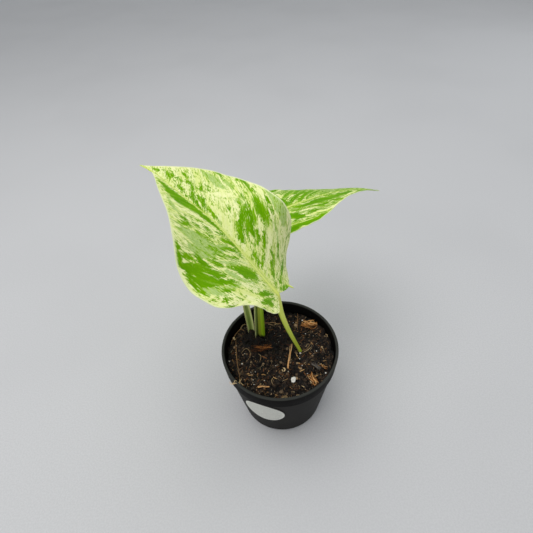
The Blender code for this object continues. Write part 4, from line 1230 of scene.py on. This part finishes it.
def build_pot():
    """Turned pot with eased edges, and its ring of drain holes."""
    corners = [(0.0, FLOOR)] + inner_profile() + [
        (RIM_RADIUS - RIM_WIDTH + RIM_EASE, POT_HEIGHT),
        (RIM_RADIUS - RIM_EASE, POT_HEIGHT),
        (RIM_RADIUS, POT_HEIGHT - RIM_EASE),
        (COLLAR_FOOT_RADIUS, COLLAR_FOOT + RIM_EASE),
        (COLLAR_FOOT_RADIUS - RIM_EASE, COLLAR_FOOT),
        (WALL_TOP_RADIUS, COLLAR_FOOT),
        (WALL_FOOT_RADIUS, FOOT_HEIGHT),
        (FOOT_RADIUS, FOOT_HEIGHT - RIM_EASE),
        (FOOT_RADIUS, RIM_EASE),
        (FOOT_RADIUS - RIM_EASE, 0.0),
        (0.0, 0.0),
    ]
    profile = rounded(corners, POT_ROUNDING)
    mesh = bpy.data.meshes.new("pot_profile")
    mesh.from_pydata([(radius, 0.0, height) for radius, height in profile],
                     [(k, k + 1) for k in range(len(profile) - 1)], [])
    spun = linked("pot_profile", mesh)
    screw = spun.modifiers.new("turn", "SCREW")
    screw.steps = screw.render_steps = POT_STEPS
    screw.use_merge_vertices = True
    screw.merge_threshold = MERGE
    cutter = drain_cutter()
    cut = spun.modifiers.new("drains", "BOOLEAN")
    cut.operation = "DIFFERENCE"
    cut.object = cutter
    evaluated = spun.evaluated_get(bpy.context.evaluated_depsgraph_get())
    final = bpy.data.meshes.new_from_object(evaluated)
    bpy.data.objects.remove(cutter, do_unlink=True)
    bpy.data.objects.remove(spun, do_unlink=True)
    final.shade_smooth()
    final.set_sharp_from_angle(angle=math.radians(40))
    final.materials.clear()
    add_piece("black_pot", final, [pot_finish()], "pot", "pot")


def build_label():
    """Round paper label bent round the wall, its edge lifting a little."""
    slope = math.atan2(WALL_TOP_RADIUS - WALL_FOOT_RADIUS, COLLAR_FOOT - FOOT_HEIGHT)
    radius = LABEL_RADIUS * np.linspace(0, 1, LABEL_RINGS + 1)[:, None] ** LABEL_RING_BIAS
    angle = np.linspace(0, 2 * np.pi, LABEL_STEPS + 1)
    across = radius * np.cos(angle)
    height = LABEL_HEIGHT + radius * np.sin(angle) * math.cos(slope)
    edge = smooth_step(radius / LABEL_RADIUS, LABEL_LIFT_START, 1.0)
    lift = LABEL_EDGE_LIFT * edge * (0.5 + 0.5 * np.sin(angle * 2 + 0.7))
    middle = wall_radius(height) + (GAP + LABEL_CLEARANCE + lift) / math.cos(slope)
    turn = math.radians(LABEL_BEARING) + across / middle
    outward = np.stack([np.cos(turn), np.sin(turn), np.full_like(turn, -math.tan(slope))], -1)
    points = np.stack([middle * np.cos(turn), middle * np.sin(turn), height], -1)
    made_points, faces = shell(points, unit(outward), LABEL_THICKNESS / 2)
    shape = Shape()
    shape.add(made_points, faces, rim=both_sides(np.broadcast_to(radius / LABEL_RADIUS, across.shape)))
    mesh = shape.mesh("paper_label", sharp_angle=50, weld=True)
    add_piece("paper_label", mesh, [label_finish()], "label", "pot_label")


# Soil

def clod_height(x, y, size, height):
    """Rounded crumbs that touch each other, each as tall as its own chance allows."""
    distances, centres = noise.voronoi(Vector((x / size, y / size, size * CLOD_LAYERS)))
    chance = CLOD_LEAST + (1.0 - CLOD_LEAST) * noise.cell(centres[0] * CLOD_SHUFFLE)
    return height * chance * math.sqrt(max(0.0, 1.0 - (distances[0] / CLOD_SPREAD) ** 2))


def broad_lump(x, y):
    """Height of the broad lumps at a place."""
    return SOIL_LUMP * noise.noise(Vector((x, y, 0.0)) / SOIL_LUMP_SIZE + SOIL_SEED)


def round_patch(x, y, across, back, width):
    """One at the middle of a round patch, and less with the distance from it."""
    return math.exp(-((x - across) ** 2 + (y - back) ** 2) / width ** 2)


def soil_edge():
    """Radius of the soil's top, just clear of the collar's inside."""
    return COLLAR_FOOT_RADIUS - WALL - RIM_EASE - GAP + SOIL_EDGE_REACH


def soil_height(x, y):
    """Top of the soil at a place: broad lumps, crumbs, hollows and clods of three sizes."""
    crumb = noise.noise(Vector((x, y, 0.0)) / SOIL_CRUMB_SIZE + SOIL_SEED * 2)
    level = SOIL_TOP + broad_lump(x, y) + SOIL_CRUMB * crumb
    for *patch, depth in HOLLOWS:
        level -= depth * round_patch(x, y, *patch)
    clods = sum(clod_height(x, y, size, height) for size, height in CLODS)
    edge = max(0.0, math.hypot(x, y) / soil_edge() - SOIL_EDGE_START) / (1.0 - SOIL_EDGE_START)
    return level + clods - CLODS[0][1] - SOIL_EDGE_DROP * edge ** 2


def outside_leaf_shade(x, y):
    """Zero in the painted shade under the leaves, over the hollow round the stalks, and one elsewhere."""
    return max(0.0, 1.0 - sum(round_patch(x, y, *patch) for patch in LEAF_SHADE_PATCHES))


def build_soil():
    """Crumbly top on a plug that fills the pot."""
    count = SOIL_CELLS + 1
    line = np.linspace(-1.0, 1.0, count)
    x, y = np.meshgrid(line, line, indexing="ij")
    edge = soil_edge()
    flat_x = x * np.sqrt(1 - y ** 2 / 2) * edge
    flat_y = y * np.sqrt(1 - x ** 2 / 2) * edge
    height, smooth, unshaded = (
        np.array([measure(a, b) for a, b in zip(flat_x.ravel(), flat_y.ravel())]).reshape(x.shape)
        for measure in (soil_height, broad_lump, outside_leaf_shade))
    # How high the soil stands above its broad lumps, which the finish turns into painted shade where it is
    # low
    raised = (height - SOIL_TOP - smooth + RAISED_BASE) / RAISED_SPAN
    # Painted shade under the leaves cuts the soil's lightness there
    raised = raised * (RAISED_IN_LEAF_SHADE + (1.0 - RAISED_IN_LEAF_SHADE) * unshaded)
    top = np.stack([flat_x, flat_y, height], -1).reshape(-1, 3)
    faces = grid_faces(count, count, True)
    previous = border_loop(count, count)
    rim = top[previous]
    parts = [top]
    base = len(top)
    levels = [(radius - GAP, level + GAP) for radius, level in inner_profile()[:FILLET_STEPS + 1]]
    for radius, level in levels[::-1] + [(PLUG_END_RADIUS, FLOOR + GAP)]:
        ring = rim / edge * radius
        ring[:, 2] = level
        parts.append(ring)
        current = list(range(base, base + len(ring)))
        for k in range(len(ring)):
            after = (k + 1) % len(ring)
            faces.append([current[after], current[k], previous[k], previous[after]])
        previous = current
        base += len(ring)
    faces.append(previous[::-1])
    plug = np.full(base - len(top), RAISED_ON_PLUG)
    shape = Shape()
    shape.add(np.concatenate(parts), faces, raised=np.concatenate([raised.ravel(), plug]))
    add_piece("crumbly_soil", shape.mesh("crumbly_soil"), [soil_finish()], "soil", "soil")


def scattered(generator, count):
    """Random places on the soil, evenly spread."""
    radius = np.sqrt(generator.uniform(0.0, SCATTER_REACH ** 2, count)) * soil_edge()
    angle = generator.uniform(0, 2 * np.pi, count)
    return np.stack([radius * np.cos(angle), radius * np.sin(angle)], 1)


def random_size(generator, smallest, growth, rarity):
    """A random size, the large ones rarer."""
    return smallest + growth * generator.random() ** rarity


def random_tone(generator, tones, leaf_shade_tone, x, y):
    """A random tone, darker in the painted shade under the leaves."""
    return generator.beta(*tones) * (leaf_shade_tone + (1.0 - leaf_shade_tone) * outside_leaf_shade(x, y))


def add_crumb(shape, generator, form, spot, size, rise, tone):
    """Adds a ball on top of the soil, roughened, squashed and turned at random."""
    points, faces = form
    jitter = 1.0 + generator.normal(0.0, CRUMB_JITTER, len(points))[:, None]
    stretch = generator.uniform(*CRUMB_STRETCH, 3) * CRUMB_SQUASH
    turn = generator.uniform(0, 2 * np.pi)
    x, y, z = (points * jitter * stretch * size).T
    local = np.stack([*turned(x, y, turn), z], 1)
    shape.add(local + (*spot, soil_height(*spot) + size * rise), faces, tone=tone)


def build_grains():
    """Loose crumbs of peat and bark on top of the soil."""
    generator = np.random.default_rng(GRAIN_SEED)
    form = ball(2)
    shape = Shape()
    for spot in scattered(generator, GRAIN_COUNT):
        size = random_size(generator, *GRAIN_SIZES)
        tone = random_tone(generator, GRAIN_TONES, GRAIN_LEAF_SHADE_TONE, *spot)
        add_crumb(shape, generator, form, spot, size, GRAIN_RISE, tone)
    mesh = shape.mesh("peat_crumbs", sharp_angle=60)
    add_piece("peat_crumbs", mesh, [scatter_finish("peat_crumbs", GRAIN_SHADES)], "soil", "soil")


def build_specks():
    """White and buff grains: crushed perlite, sand and lime."""
    generator = np.random.default_rng(SPECK_SEED)
    form = ball(1)
    shape = Shape()
    specks = [
        (*spot, random_size(generator, *SPECK_SIZES), generator.beta(*SPECK_TONES))
        for spot in scattered(generator, SPECK_COUNT)]
    for x, y, size, tone in specks + list(PLACED_SPECKS):
        add_crumb(shape, generator, form, (x, y), size, SPECK_RISE, tone)
    finish = scatter_finish("pale_grains", SPECK_SHADES)
    add_piece("pale_grains", shape.mesh("pale_grains"), [finish], "soil", "soil")


def build_splinters():
    """Small bits of bark and wood in the mix."""
    generator = np.random.default_rng(SPLINTER_SEED)
    shape = Shape()
    for x, y in scattered(generator, SPLINTER_COUNT):
        length = generator.uniform(*SPLINTER_LENGTHS)
        width = generator.uniform(*SPLINTER_WIDTHS)
        way = generator.uniform(0, 2 * np.pi)
        tilt = generator.uniform(*SPLINTER_TILTS)
        ahead = np.array([math.cos(way) * math.cos(tilt), math.sin(way) * math.cos(tilt), math.sin(tilt)])
        middle = np.array([x, y, soil_height(x, y) + SPLINTER_RISE])
        t = np.linspace(-0.5, 0.5, SPLINTER_RINGS)
        radii = width * (1.0 - 1.3 * t ** 2) * generator.uniform(0.8, 1.2, SPLINTER_RINGS)
        tone = random_tone(generator, SPLINTER_TONES, STRAND_LEAF_SHADE_TONE, x, y)
        add_tube(shape, middle + ahead * (t * length)[:, None], radii, 6, squash=flat_strand, tone=tone)
    finish = wood_finish("splinters", SPLINTER_SHADES)
    add_piece("splinters", shape.mesh("splinters", sharp_angle=50), [finish], "soil", "soil")


def add_fibre(shape, spots, lift, radius, tone, sides=5, steps=26):
    """A thin fibre over the soil through the spots, hanging above it by lift at its middle."""
    t = np.linspace(0, 1, steps)
    flat = spline(spots, t)
    level = np.array([soil_height(a, b) for a, b in flat])
    for _ in range(FIBRE_EASINGS):
        level[1:-1] = (level[:-2] + 2 * level[1:-1] + level[2:]) / 4
    level += radius + lift * np.sin(np.pi * t)
    radii = radius * (1.0 - 0.65 * np.abs(2 * t - 1) ** 3)
    add_tube(shape, np.column_stack([flat, level]), radii, sides, tone=tone)


def build_fibres():
    """Long placed fibres and many short curly ones."""
    generator = np.random.default_rng(FIBRE_SEED)
    shape = Shape()
    for spots, lift, radius, tone in PLACED_FIBRES:
        add_fibre(shape, spots, lift, radius, tone)
    for x, y in scattered(generator, FIBRE_COUNT):
        way = generator.uniform(0, 2 * np.pi)
        reach = generator.uniform(*FIBRE_REACHES)
        spots = [(x, y)]
        for _ in range(3):
            way += generator.normal(0.0, FIBRE_TURN)
            x += math.cos(way) * reach / 3
            y += math.sin(way) * reach / 3
            pull = min(1.0, soil_edge() * FIBRE_LIMIT / max(math.hypot(x, y), 1e-6))
            spots.append((x * pull, y * pull))
        lift = generator.uniform(*FIBRE_LIFTS)
        radius = generator.uniform(*FIBRE_RADII)
        tone = random_tone(generator, FIBRE_TONES, STRAND_LEAF_SHADE_TONE, x, y)
        add_fibre(shape, spots, lift, radius, tone, sides=4, steps=12)
    for places, radius, tone in HUNG_FIBRES:
        places = spline(places, np.linspace(0, 1, HUNG_RINGS))
        add_tube(shape, places, np.full(HUNG_RINGS, radius), 6, tone=tone)
    finish = wood_finish("root_fibres", FIBRE_SHADES)
    add_piece("root_fibres", shape.mesh("root_fibres"), [finish], "soil", "soil")


# Leaves

def midrib_frames(leaf):
    """Steps along the midrib, with the place, forward, right and up directions at each."""
    t = np.linspace(0, 1, MIDRIB_STEPS + 1)
    heading, climb, roll = (np.radians(spline(leaf[name], t)) for name in ("heading", "climb", "roll"))
    level = np.stack([np.cos(heading), np.sin(heading), np.zeros_like(t)], -1)
    forward = level * np.cos(climb)[:, None]
    forward[:, 2] = np.sin(climb)
    flat_right = np.stack([level[:, 1], -level[:, 0], np.zeros_like(t)], -1)
    upright = np.cross(flat_right, forward)
    right = flat_right * np.cos(roll)[:, None] + upright * np.sin(roll)[:, None]
    steps = np.concatenate([np.zeros((1, 3)), np.cumsum(forward[:-1], axis=0)])
    place = np.array(leaf["base"]) + steps * leaf["length"] / MIDRIB_STEPS
    return t, place, forward, right, np.cross(right, forward)


def frame_at(frames, t):
    """Place, forward, right and up directions at every t."""
    return [
        np.stack([np.interp(t, frames[0], values[:, axis]) for axis in range(3)], -1)
        for values in frames[1:]]


def blade_grid(leaf):
    """The blade's middle surface: points, normals, each point's place along, out and part, frames."""
    row = np.linspace(0, 1, BLADE_ROWS + 1)[:, None]
    part = np.linspace(-1, 1, 2 * BLADE_HALF_COLUMNS + 1)[None, :]
    row, part = np.broadcast_arrays(row, part)
    is_right = part >= 0
    share = np.abs(part)
    start = spline(VEIN_STARTS, row)
    edge = np.where(
        is_right[..., None], spline(leaf["right_outline"], row), spline(leaf["left_outline"], row))
    along = start + (edge[..., 0] - start) * share ** VEIN_SWEEP
    out = np.maximum(edge[..., 1], 0.0) * share
    t = np.clip(along, 0.0, 1.0)
    frames = midrib_frames(leaf)
    place, forward, right, up = frame_at(frames, t)
    fold = np.radians(np.where(is_right, spline(leaf["right_fold"], t), spline(leaf["left_fold"], t)))
    curl = np.where(is_right, spline(leaf["right_curl"], t), spline(leaf["left_curl"], t))
    curl = np.radians(curl) / CURL_SPAN
    curl = np.where(np.abs(curl) < LEAST_CURL, LEAST_CURL, curl)
    across = (np.sin(fold + curl * out) - np.sin(fold)) / curl * np.where(is_right, 1.0, -1.0)
    rise = (np.cos(fold) - np.cos(fold + curl * out)) / curl
    back = np.minimum(along, 0.0) * leaf["length"]
    wave = RIPPLE * np.sin(2 * np.pi * RIPPLE_WAVES * row + leaf["ripple_phase"]) * share ** 3
    wave = wave + FLUTTER * np.sin(2 * np.pi * FLUTTER_WAVES * row + FLUTTER_SLANT * part) * share ** 6
    points = place + forward * back[..., None] + right * across[..., None]
    points = points + up * (rise + wave * np.sin(np.pi * row) ** 2)[..., None]
    normals = unit(np.cross(np.gradient(points, axis=1), np.gradient(points, axis=0)))
    normals = normals * np.sign(np.sum(normals * up, axis=-1, keepdims=True))
    normals[0] = normals[1]
    normals[-1] = normals[-2]
    return points, normals, along * leaf["length"], out, part, frames


def across_veins(leaf, along, out):
    """Distance across the side veins, which sweep towards the tip and fan out in the lobes."""
    first, second = leaf["sweep"]
    lag = along - (first * out + second * out ** 2)
    place = np.where(lag >= 0.0, lag, lag * LOBE_FAN / (out + LOBE_FAN_START))
    along_pace, out_pace = VEIN_WANDER_PACE
    return place + VEIN_WANDER * np.sin(place * along_pace + out * out_pace)


def side_veins(place, part):
    """How much of a side vein each place has, and how far the blade rises or sinks there."""
    share = np.abs(part)
    near = np.abs(place / VEIN_PITCH - np.round(place / VEIN_PITCH)) * VEIN_PITCH
    vein = np.exp(-(near / VEIN_WIDTH) ** 2) * smooth_step(share, 0.02, 0.15) * smooth_step(share, 1.0, 0.75)
    body = smooth_step(share, 0.0, 0.2) * smooth_step(share, 1.0, 0.8)
    strength = 0.6 + 0.4 * np.sin(place / VEIN_PITCH * 2.4 + part * 3.0)
    swell = 0.6 * np.cos(2 * np.pi * place / VEIN_PITCH + np.pi) * body
    return vein, VEIN_DEPTH * strength * (swell - vein)


def stroke_depth(strokes, along, out):
    """How deep inside the nearest stroke each place lies, in millimetres; below zero outside."""
    depth = np.full(along.shape, -MARK_REACH)
    for stroke in strokes:
        for start, end in zip(stroke, stroke[1:]):
            course = np.array(end[:2]) - start[:2]
            share = ((along - start[0]) * course[0] + (out - start[1]) * course[1]) / course.dot(course)
            share = np.clip(share, 0.0, 1.0)
            away = np.hypot(along - start[0] - share * course[0], out - start[1] - share * course[1])
            depth = np.maximum(depth, start[2] + (end[2] - start[2]) * share - away)
    return np.clip(depth, -MARK_REACH, MARK_DEPTH)


def add_blade(shape, leaf, marks):
    """Adds the thin marbled blade with its sunk side veins; gives the frames of its midrib."""
    points, normals, along, out, part, frames = blade_grid(leaf)
    share = np.abs(part)
    place = across_veins(leaf, along, out)
    vein, relief = side_veins(place, part)
    row = np.linspace(0, 1, BLADE_ROWS + 1)[:, None]
    ends = smooth_step(row, 0.0, 0.03) * smooth_step(row, 1.0, 0.97)
    half = BLADE_THICKNESS / 2 * (1.0 - 0.55 * smooth_step(share, 0.90, 1.0)) * (0.15 + 0.85 * ends)
    made_points, faces = shell(points, normals, half, relief * ends)
    signed_out = out * np.sign(part + 1e-9)
    flow = np.stack([place, signed_out, (part > 0) * 3.0], -1)
    values = {name: stroke_depth(marks[name], along * 1000, signed_out * 1000) for name in marks}
    values["rim"] = share
    values["vein"] = vein
    glow = np.interp(along / leaf["length"], MIDRIB_GLOW_REACH, MIDRIB_GLOW)
    values["middle"] = np.exp(-(out / glow) ** 2)
    values = {name: both_sides(value) for name, value in values.items()}
    under = np.repeat((0.0, 1.0), share.size)
    shape.add(made_points, faces, flow=both_sides(flow, 3), **values, under=under)
    return frames


def add_midrib(shape, leaf, frames, tail):
    """Adds the top of the stalk and the midrib that it turns into, eased where they meet."""
    t = np.linspace(0, RIB_END, RIB_RINGS + 1)[1:]
    rib_place, *_, rib_up = frame_at(frames, t)
    rib_radii = spline(leaf["rib"], t / RIB_END)
    rib_place = rib_place - rib_up * (rib_radii * RIB_SINK)[:, None]
    places = np.concatenate([tail["places"], rib_place])
    radii = np.concatenate([tail["radii"], rib_radii])
    joint = len(tail["places"])
    last = joint + JOINT_EASE_RINGS
    for _ in range(JOINT_EASINGS):
        for values in (places, radii):
            values[1:last + 1] = (values[2:last + 2] + 2 * values[1:last + 1] + values[:last]) / 4
    fade = joint / len(places)
    add_tube(shape, places, radii, STALK_SIDES, FRONT, finish=1, start=tail["start"],
             squash=lambda angles, t: 1.0 - (1.0 - stalk_groove(angles, t)) * smooth_step(t, fade, 0.0))


def build_leaf(name, node, leaf, marks, tail, finishes):
    """Blade, its midrib, and the top of its stalk."""
    shape = Shape()
    frames = add_blade(shape, leaf, marks)
    add_midrib(shape, leaf, frames, tail)
    if "lobe_point" in leaf:
        t = np.linspace(0, 1, LOBE_POINT_RINGS)
        add_tube(shape, spline(leaf["lobe_point"], t), spline(LOBE_POINT_RADII, t), LOBE_POINT_SIDES, FRONT,
                 finish=1, start=tail["start"], squash=flat_strand)
    add_piece(name, shape.mesh(name, sharp_angle=60, weld=True), finishes, "leaf", node)


# Stalks and sheaths

def stalk_groove(angles, _):
    """Shallow channel down the front of a stalk."""
    away = np.minimum(angles, 2 * np.pi - angles)
    return 1.0 - STALK_GROOVE * np.exp(-(away / GROOVE_WIDTH) ** 2)


def build_stalk(name, node, route, radii, finish):
    """Stalk up to its joint, a little swollen there; gives the tail that its leaf goes on with."""
    t = np.linspace(0, 1, STALK_RINGS + 1)
    places = spline(route, t)
    width = spline(radii, t) + SWELLING * np.exp(-((t - SWELLING_PLACE) / SWELLING_LENGTH) ** 2)
    last = round(STALK_JOINT * STALK_RINGS)
    shape = Shape()
    add_tube(shape, places[:last + 1], width[:last + 1], STALK_SIDES, FRONT, squash=stalk_groove)
    add_piece(name, shape.mesh(name, sharp_angle=60), [finish], "stalk", node)
    start = np.linalg.norm(np.diff(places[:last + 1], axis=0), axis=1).sum()
    return {"places": places[last:], "radii": width[last:], "start": start}


def channel(route, start, end, place_across):
    """Grid of points and outward normals for a thin channel along a route."""
    row = np.linspace(0, 1, CHANNEL_ROWS + 1)
    t = start + (end - start) * row
    middle = spline(route, t)
    ahead = unit(spline(route, np.minimum(t + COURSE_STEP, 1.0)) - spline(route, t - COURSE_STEP))
    left = unit(np.array([-1.0, 0.0, 0.0]) - ahead * -ahead[:, :1])
    front = np.cross(ahead, left)
    side = np.linspace(-0.5, 0.5, CHANNEL_COLUMNS + 1)
    t, side = np.meshgrid(t, side, indexing="ij")
    angle, distance = place_across(t, side)
    ways = left[:, None] * np.cos(angle)[..., None] + front[:, None] * np.sin(angle)[..., None]
    return middle[:, None] + ways * distance[..., None], ways, t, side, angle * distance


def wing_across(t, side):
    """The wing clasps the stalk, flares at its front edge and narrows towards its top."""
    row = np.clip((t - WING_SPAN[0]) / (WING_SPAN[1] - WING_SPAN[0]), 0.0, 1.0)
    narrowing = np.cos(np.pi / 2 * row ** 3)
    middle = (WING_BEARINGS[0] + WING_BEARINGS[1]) / 2
    spread = WING_BEARINGS[1] - WING_BEARINGS[0]
    spread = spread * (WING_TOP_SHARE + (1.0 - WING_TOP_SHARE) * narrowing)
    radius = spline(REAR_STALK_RADII, t) + GAP / 2 + CHANNEL_THICKNESS / 2
    return np.radians(middle + spread * side), radius + WING_FLARE * narrowing * np.maximum(side, 0.0) * 2


def sheath_across(t, side):
    """The free sheath is an even arc that narrows to a tip."""
    return np.radians(SHEATH_FACING + SHEATH_ARC * side), spline(SHEATH_WIDTHS, t)


def build_channel(name, node, route, span, across, finish):
    """Thin sheath with feathered edges and a fine furrow between its veins."""
    points, normals, t, side, around = channel(route, *span, across)
    edge = np.maximum(np.abs(side) * 2, (t - span[0]) / (span[1] - span[0]))
    half = CHANNEL_THICKNESS / 2 * (1.0 - 0.6 * smooth_step(edge, 0.80, 1.0))
    ridges = CHANNEL_RIDGE * np.cos(side * 2 * np.pi * CHANNEL_RIDGES)
    made_points, faces = shell(points, normals, half, ridges)
    length = np.linalg.norm(np.diff(route, axis=0), axis=1).sum()
    flow = np.stack([around, t * length, np.zeros_like(t)], -1)
    shape = Shape()
    shape.add(made_points, faces, flow=both_sides(flow, 3), edge=both_sides(edge),
              middle=both_sides(1.0 - np.abs(side) * 2))
    add_piece(name, shape.mesh(name, sharp_angle=70), [finish], "sheath", node)


def build_plant():
    """Both stalks with their leaves, and both sheaths."""
    front_stalk = stalk_finish("front_stalk")
    rear_stalk = stalk_finish("rear_stalk")
    sheath = sheath_finish()
    front_tail = build_stalk(
        "front_stalk", "front_petiole", FRONT_STALK_ROUTE, FRONT_STALK_RADII, front_stalk)
    rear_tail = build_stalk(
        "rear_stalk", "rear_petiole", REAR_STALK_ROUTE, REAR_STALK_RADII, rear_stalk)
    build_leaf("front_blade", "front_leaf", FRONT_LEAF,
               {"green": FRONT_GREEN, "cream": FRONT_CREAM, "grey": FRONT_GREY_AND_SHEEN}, front_tail,
               [blade_finish("front_marbling", 0.0, -0.40, 0.0), front_stalk])
    build_leaf("rear_blade", "rear_leaf", REAR_LEAF,
               {"green": REAR_GREEN, "cream": REAR_CREAM, "grey": REAR_GREY_AND_SHEEN}, rear_tail,
               [blade_finish("rear_marbling", 7.0, -1.55, 0.35), rear_stalk])
    build_channel("stalk_wing", "petiole_sheath", REAR_STALK_ROUTE, WING_SPAN, wing_across, sheath)
    build_channel("grooved_sheath", "shoot_sheath", SHEATH_ROUTE, SHEATH_SPAN, sheath_across, sheath)


# Loose pieces

def on_soil(local, place, bearing, level):
    """Turns a loose piece's own points to its bearing and puts it on its spot."""
    x, y = turned(local[..., 0], local[..., 1], math.radians(bearing))
    return np.stack([place[0] + x, place[1] + y, level + local[..., 2]], -1)


def build_chip(name, node, slot, finish, seed, lean, place, bearing, size, strands):
    """Frayed chip: loose strands that cross and curl, dense on the side it leans to, with painted shade
    darkening its lower strands between the upper ones.
    """
    generator = np.random.default_rng(seed)
    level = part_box(node)[0].z - CHIP_SEAT
    shape = Shape()
    for _ in range(strands):
        offset = lean + generator.normal(0.0, STRAND_SPREAD)
        offset = np.clip(offset, -STRAND_LIMIT, STRAND_LIMIT)
        reach = generator.uniform(*STRAND_REACHES)
        reach = reach * math.sqrt(max(0.1, 1.0 - (1.7 * (offset - lean * 0.6)) ** 2))
        shift = generator.uniform(-0.5, 0.5) * (1.0 - reach)
        t = np.linspace(-0.5, 0.5, STRAND_RINGS)
        skew = generator.normal(0.0, STRAND_SKEW)
        bow = generator.normal(0.0, STRAND_BOW)
        depth = generator.uniform(0.0, 1.0)
        x = (t * reach + shift) * size[0]
        y = np.clip(offset + skew * t + bow * (t ** 2 - 0.08), -0.54, 0.54) * size[1]
        fray = generator.uniform(0.0, 0.7) * np.abs(t) ** 3 * 4
        z = (0.12 + 0.66 * depth + fray * generator.choice((-0.3, 1.0))) * size[2] * 0.85
        width = size[1] * generator.uniform(*STRAND_WIDTHS) * (1.4 - 0.6 * depth)
        taper = np.clip(1.15 - 3.6 * np.abs(t) ** 3, 0.10, 1.0)
        radii = width * taper * generator.uniform(0.75, 1.25, STRAND_RINGS)
        # Random tone, with painted shade: the lower a strand lies in the chip, the darker it is
        tone = np.clip(generator.normal(-0.10 + 0.85 * depth, 0.22), 0.0, 1.0)
        places = on_soil(np.stack([x, y, z], -1), place, bearing, level)
        add_tube(shape, places, radii, 8, squash=flat_strand, tone=tone)
    add_piece(name, shape.mesh(name, sharp_angle=50), [finish], slot, node)


def build_straw(name, node, finish, seed, place, bearing, length, radii):
    """Dry straw with a knot near one end, split at the other."""
    generator = np.random.default_rng(seed)
    low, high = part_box(node)
    level = (low.z + high.z) / 2
    shape = Shape()
    t = np.linspace(0, 1, STRAW_RINGS)
    bend = STRAW_BEND * np.sin(np.pi * t * 1.5 + 0.4)
    local = np.stack([(t - 0.5) * length, bend, np.zeros_like(t)], -1)
    knots = sum(rise * np.exp(-((t - spot) / STRAW_KNOT_LENGTH) ** 2) for spot, rise in STRAW_KNOTS)
    width = (radii[0] + (radii[1] - radii[0]) * t) * (1.0 + knots)
    add_tube(shape, on_soil(local, place, bearing, level), width * 0.80, 14, tone=0.55)
    for _ in range(STRAW_FIBRES):
        start = generator.uniform(0.0, 0.75)
        s = np.linspace(start, min(start + generator.uniform(0.15, 0.35), 1.05), STRAW_FIBRE_RINGS)
        out = radii[0] * generator.uniform(0.6, 0.95)
        angle = generator.uniform(0, np.pi)
        lift = math.sin(angle) * out + 0.0005 * (s - start) ** 2 / 0.1
        local = np.stack([(s - 0.5) * length, np.full_like(s, math.cos(angle) * out), lift], -1)
        add_tube(shape, on_soil(local, place, bearing, level),
                 np.linspace(*STRAW_FIBRE_RADII, STRAW_FIBRE_RINGS), 6, tone=generator.uniform(0.6, 1.0))
    add_piece(name, shape.mesh(name, sharp_angle=60), [finish], "straw", node)


def build_perlite():
    """Knobbly white grain."""
    low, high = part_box("perlite_grain")
    points, faces = ball(5)
    made = []
    for point in points:
        place = Vector(point)
        swell = 0.95 + 0.55 * noise.noise(place * 1.3 + PERLITE_SEED) + 0.22 * noise.noise(place * 3.7)
        pit = max(0.0, 0.50 - noise.voronoi(place * 2.6)[0][0])
        made.append(point * (swell - 0.45 * pit) * PERLITE_FORM)
    shape = Shape()
    shape.add(np.array(made) * PERLITE_RADIUS * 0.95 + (*PERLITE_PLACE, (low.z + high.z) / 2), faces)
    add_piece("white_grain", shape.mesh("white_grain"), [perlite_finish()], "perlite", "perlite_grain")


def build_loose_pieces():
    """Chips, straws and the perlite grain that lie on the soil."""
    woods = {name: wood_finish(name, shades) for name, shades in WOOD_SHADES.items()}
    for name, node, slot, wood, *form in CHIPS:
        build_chip(name, node, slot, woods[wood], *form)
    straw = wood_finish("straw", STRAW_SHADES, 0.65)
    for name, node, *form in STRAWS:
        build_straw(name, node, straw, *form)
    build_perlite()


# Camera, lights and floor

def build_floor():
    """Level floor under the pot."""
    bm = bmesh.new()
    bmesh.ops.create_grid(bm, x_segments=2, y_segments=2, size=FLOOR_SIZE / 2)
    mesh = bpy.data.meshes.new("floor")
    bm.to_mesh(mesh)
    bm.free()
    mesh.materials.append(floor_finish())
    plane = linked("floor", mesh)


def build_lights():
    """Three soft round lights and a pale sky."""
    for name, (place, size, power, color) in LIGHTS.items():
        light = bpy.data.lights.new(name, "AREA")
        light.shape = "DISK"
        light.size = size
        light.energy = power
        light.color = color
        lamp = linked(name, light)
        lamp.location = place
        lamp.rotation_euler = (Vector(LIGHT_AIM) - Vector(place)).to_track_quat("-Z", "Y").to_euler()
    world = bpy.data.worlds.new("studio")
    world.use_nodes = True
    background = world.node_tree.nodes["Background"]
    background.inputs["Color"].default_value = (*SKY, 1.0)
    background.inputs["Strength"].default_value = SKY_STRENGTH
    bpy.context.scene.world = world


def build_camera():
    """Camera at the photo's angle."""
    data = bpy.data.cameras.new("camera")
    data.sensor_width = CAMERA_SENSOR
    data.lens = CAMERA_LENS
    data.clip_start = CAMERA_NEAR
    camera = linked("camera", data)
    camera.location = CAMERA_PLACE
    pitch = Quaternion((1.0, 0.0, 0.0), math.radians(90 - CAMERA_PITCH))
    roll = Quaternion((0.0, 0.0, 1.0), math.radians(CAMERA_ROLL))
    camera.rotation_mode = "QUATERNION"
    camera.rotation_quaternion = pitch @ roll
    bpy.context.scene.camera = camera


build_camera()
build_lights()
build_floor()
build_pot()
build_label()
build_soil()
build_grains()
build_specks()
build_splinters()
build_fibres()
build_plant()
build_loose_pieces()
bpy.context.scene.view_settings.view_transform = "Standard"
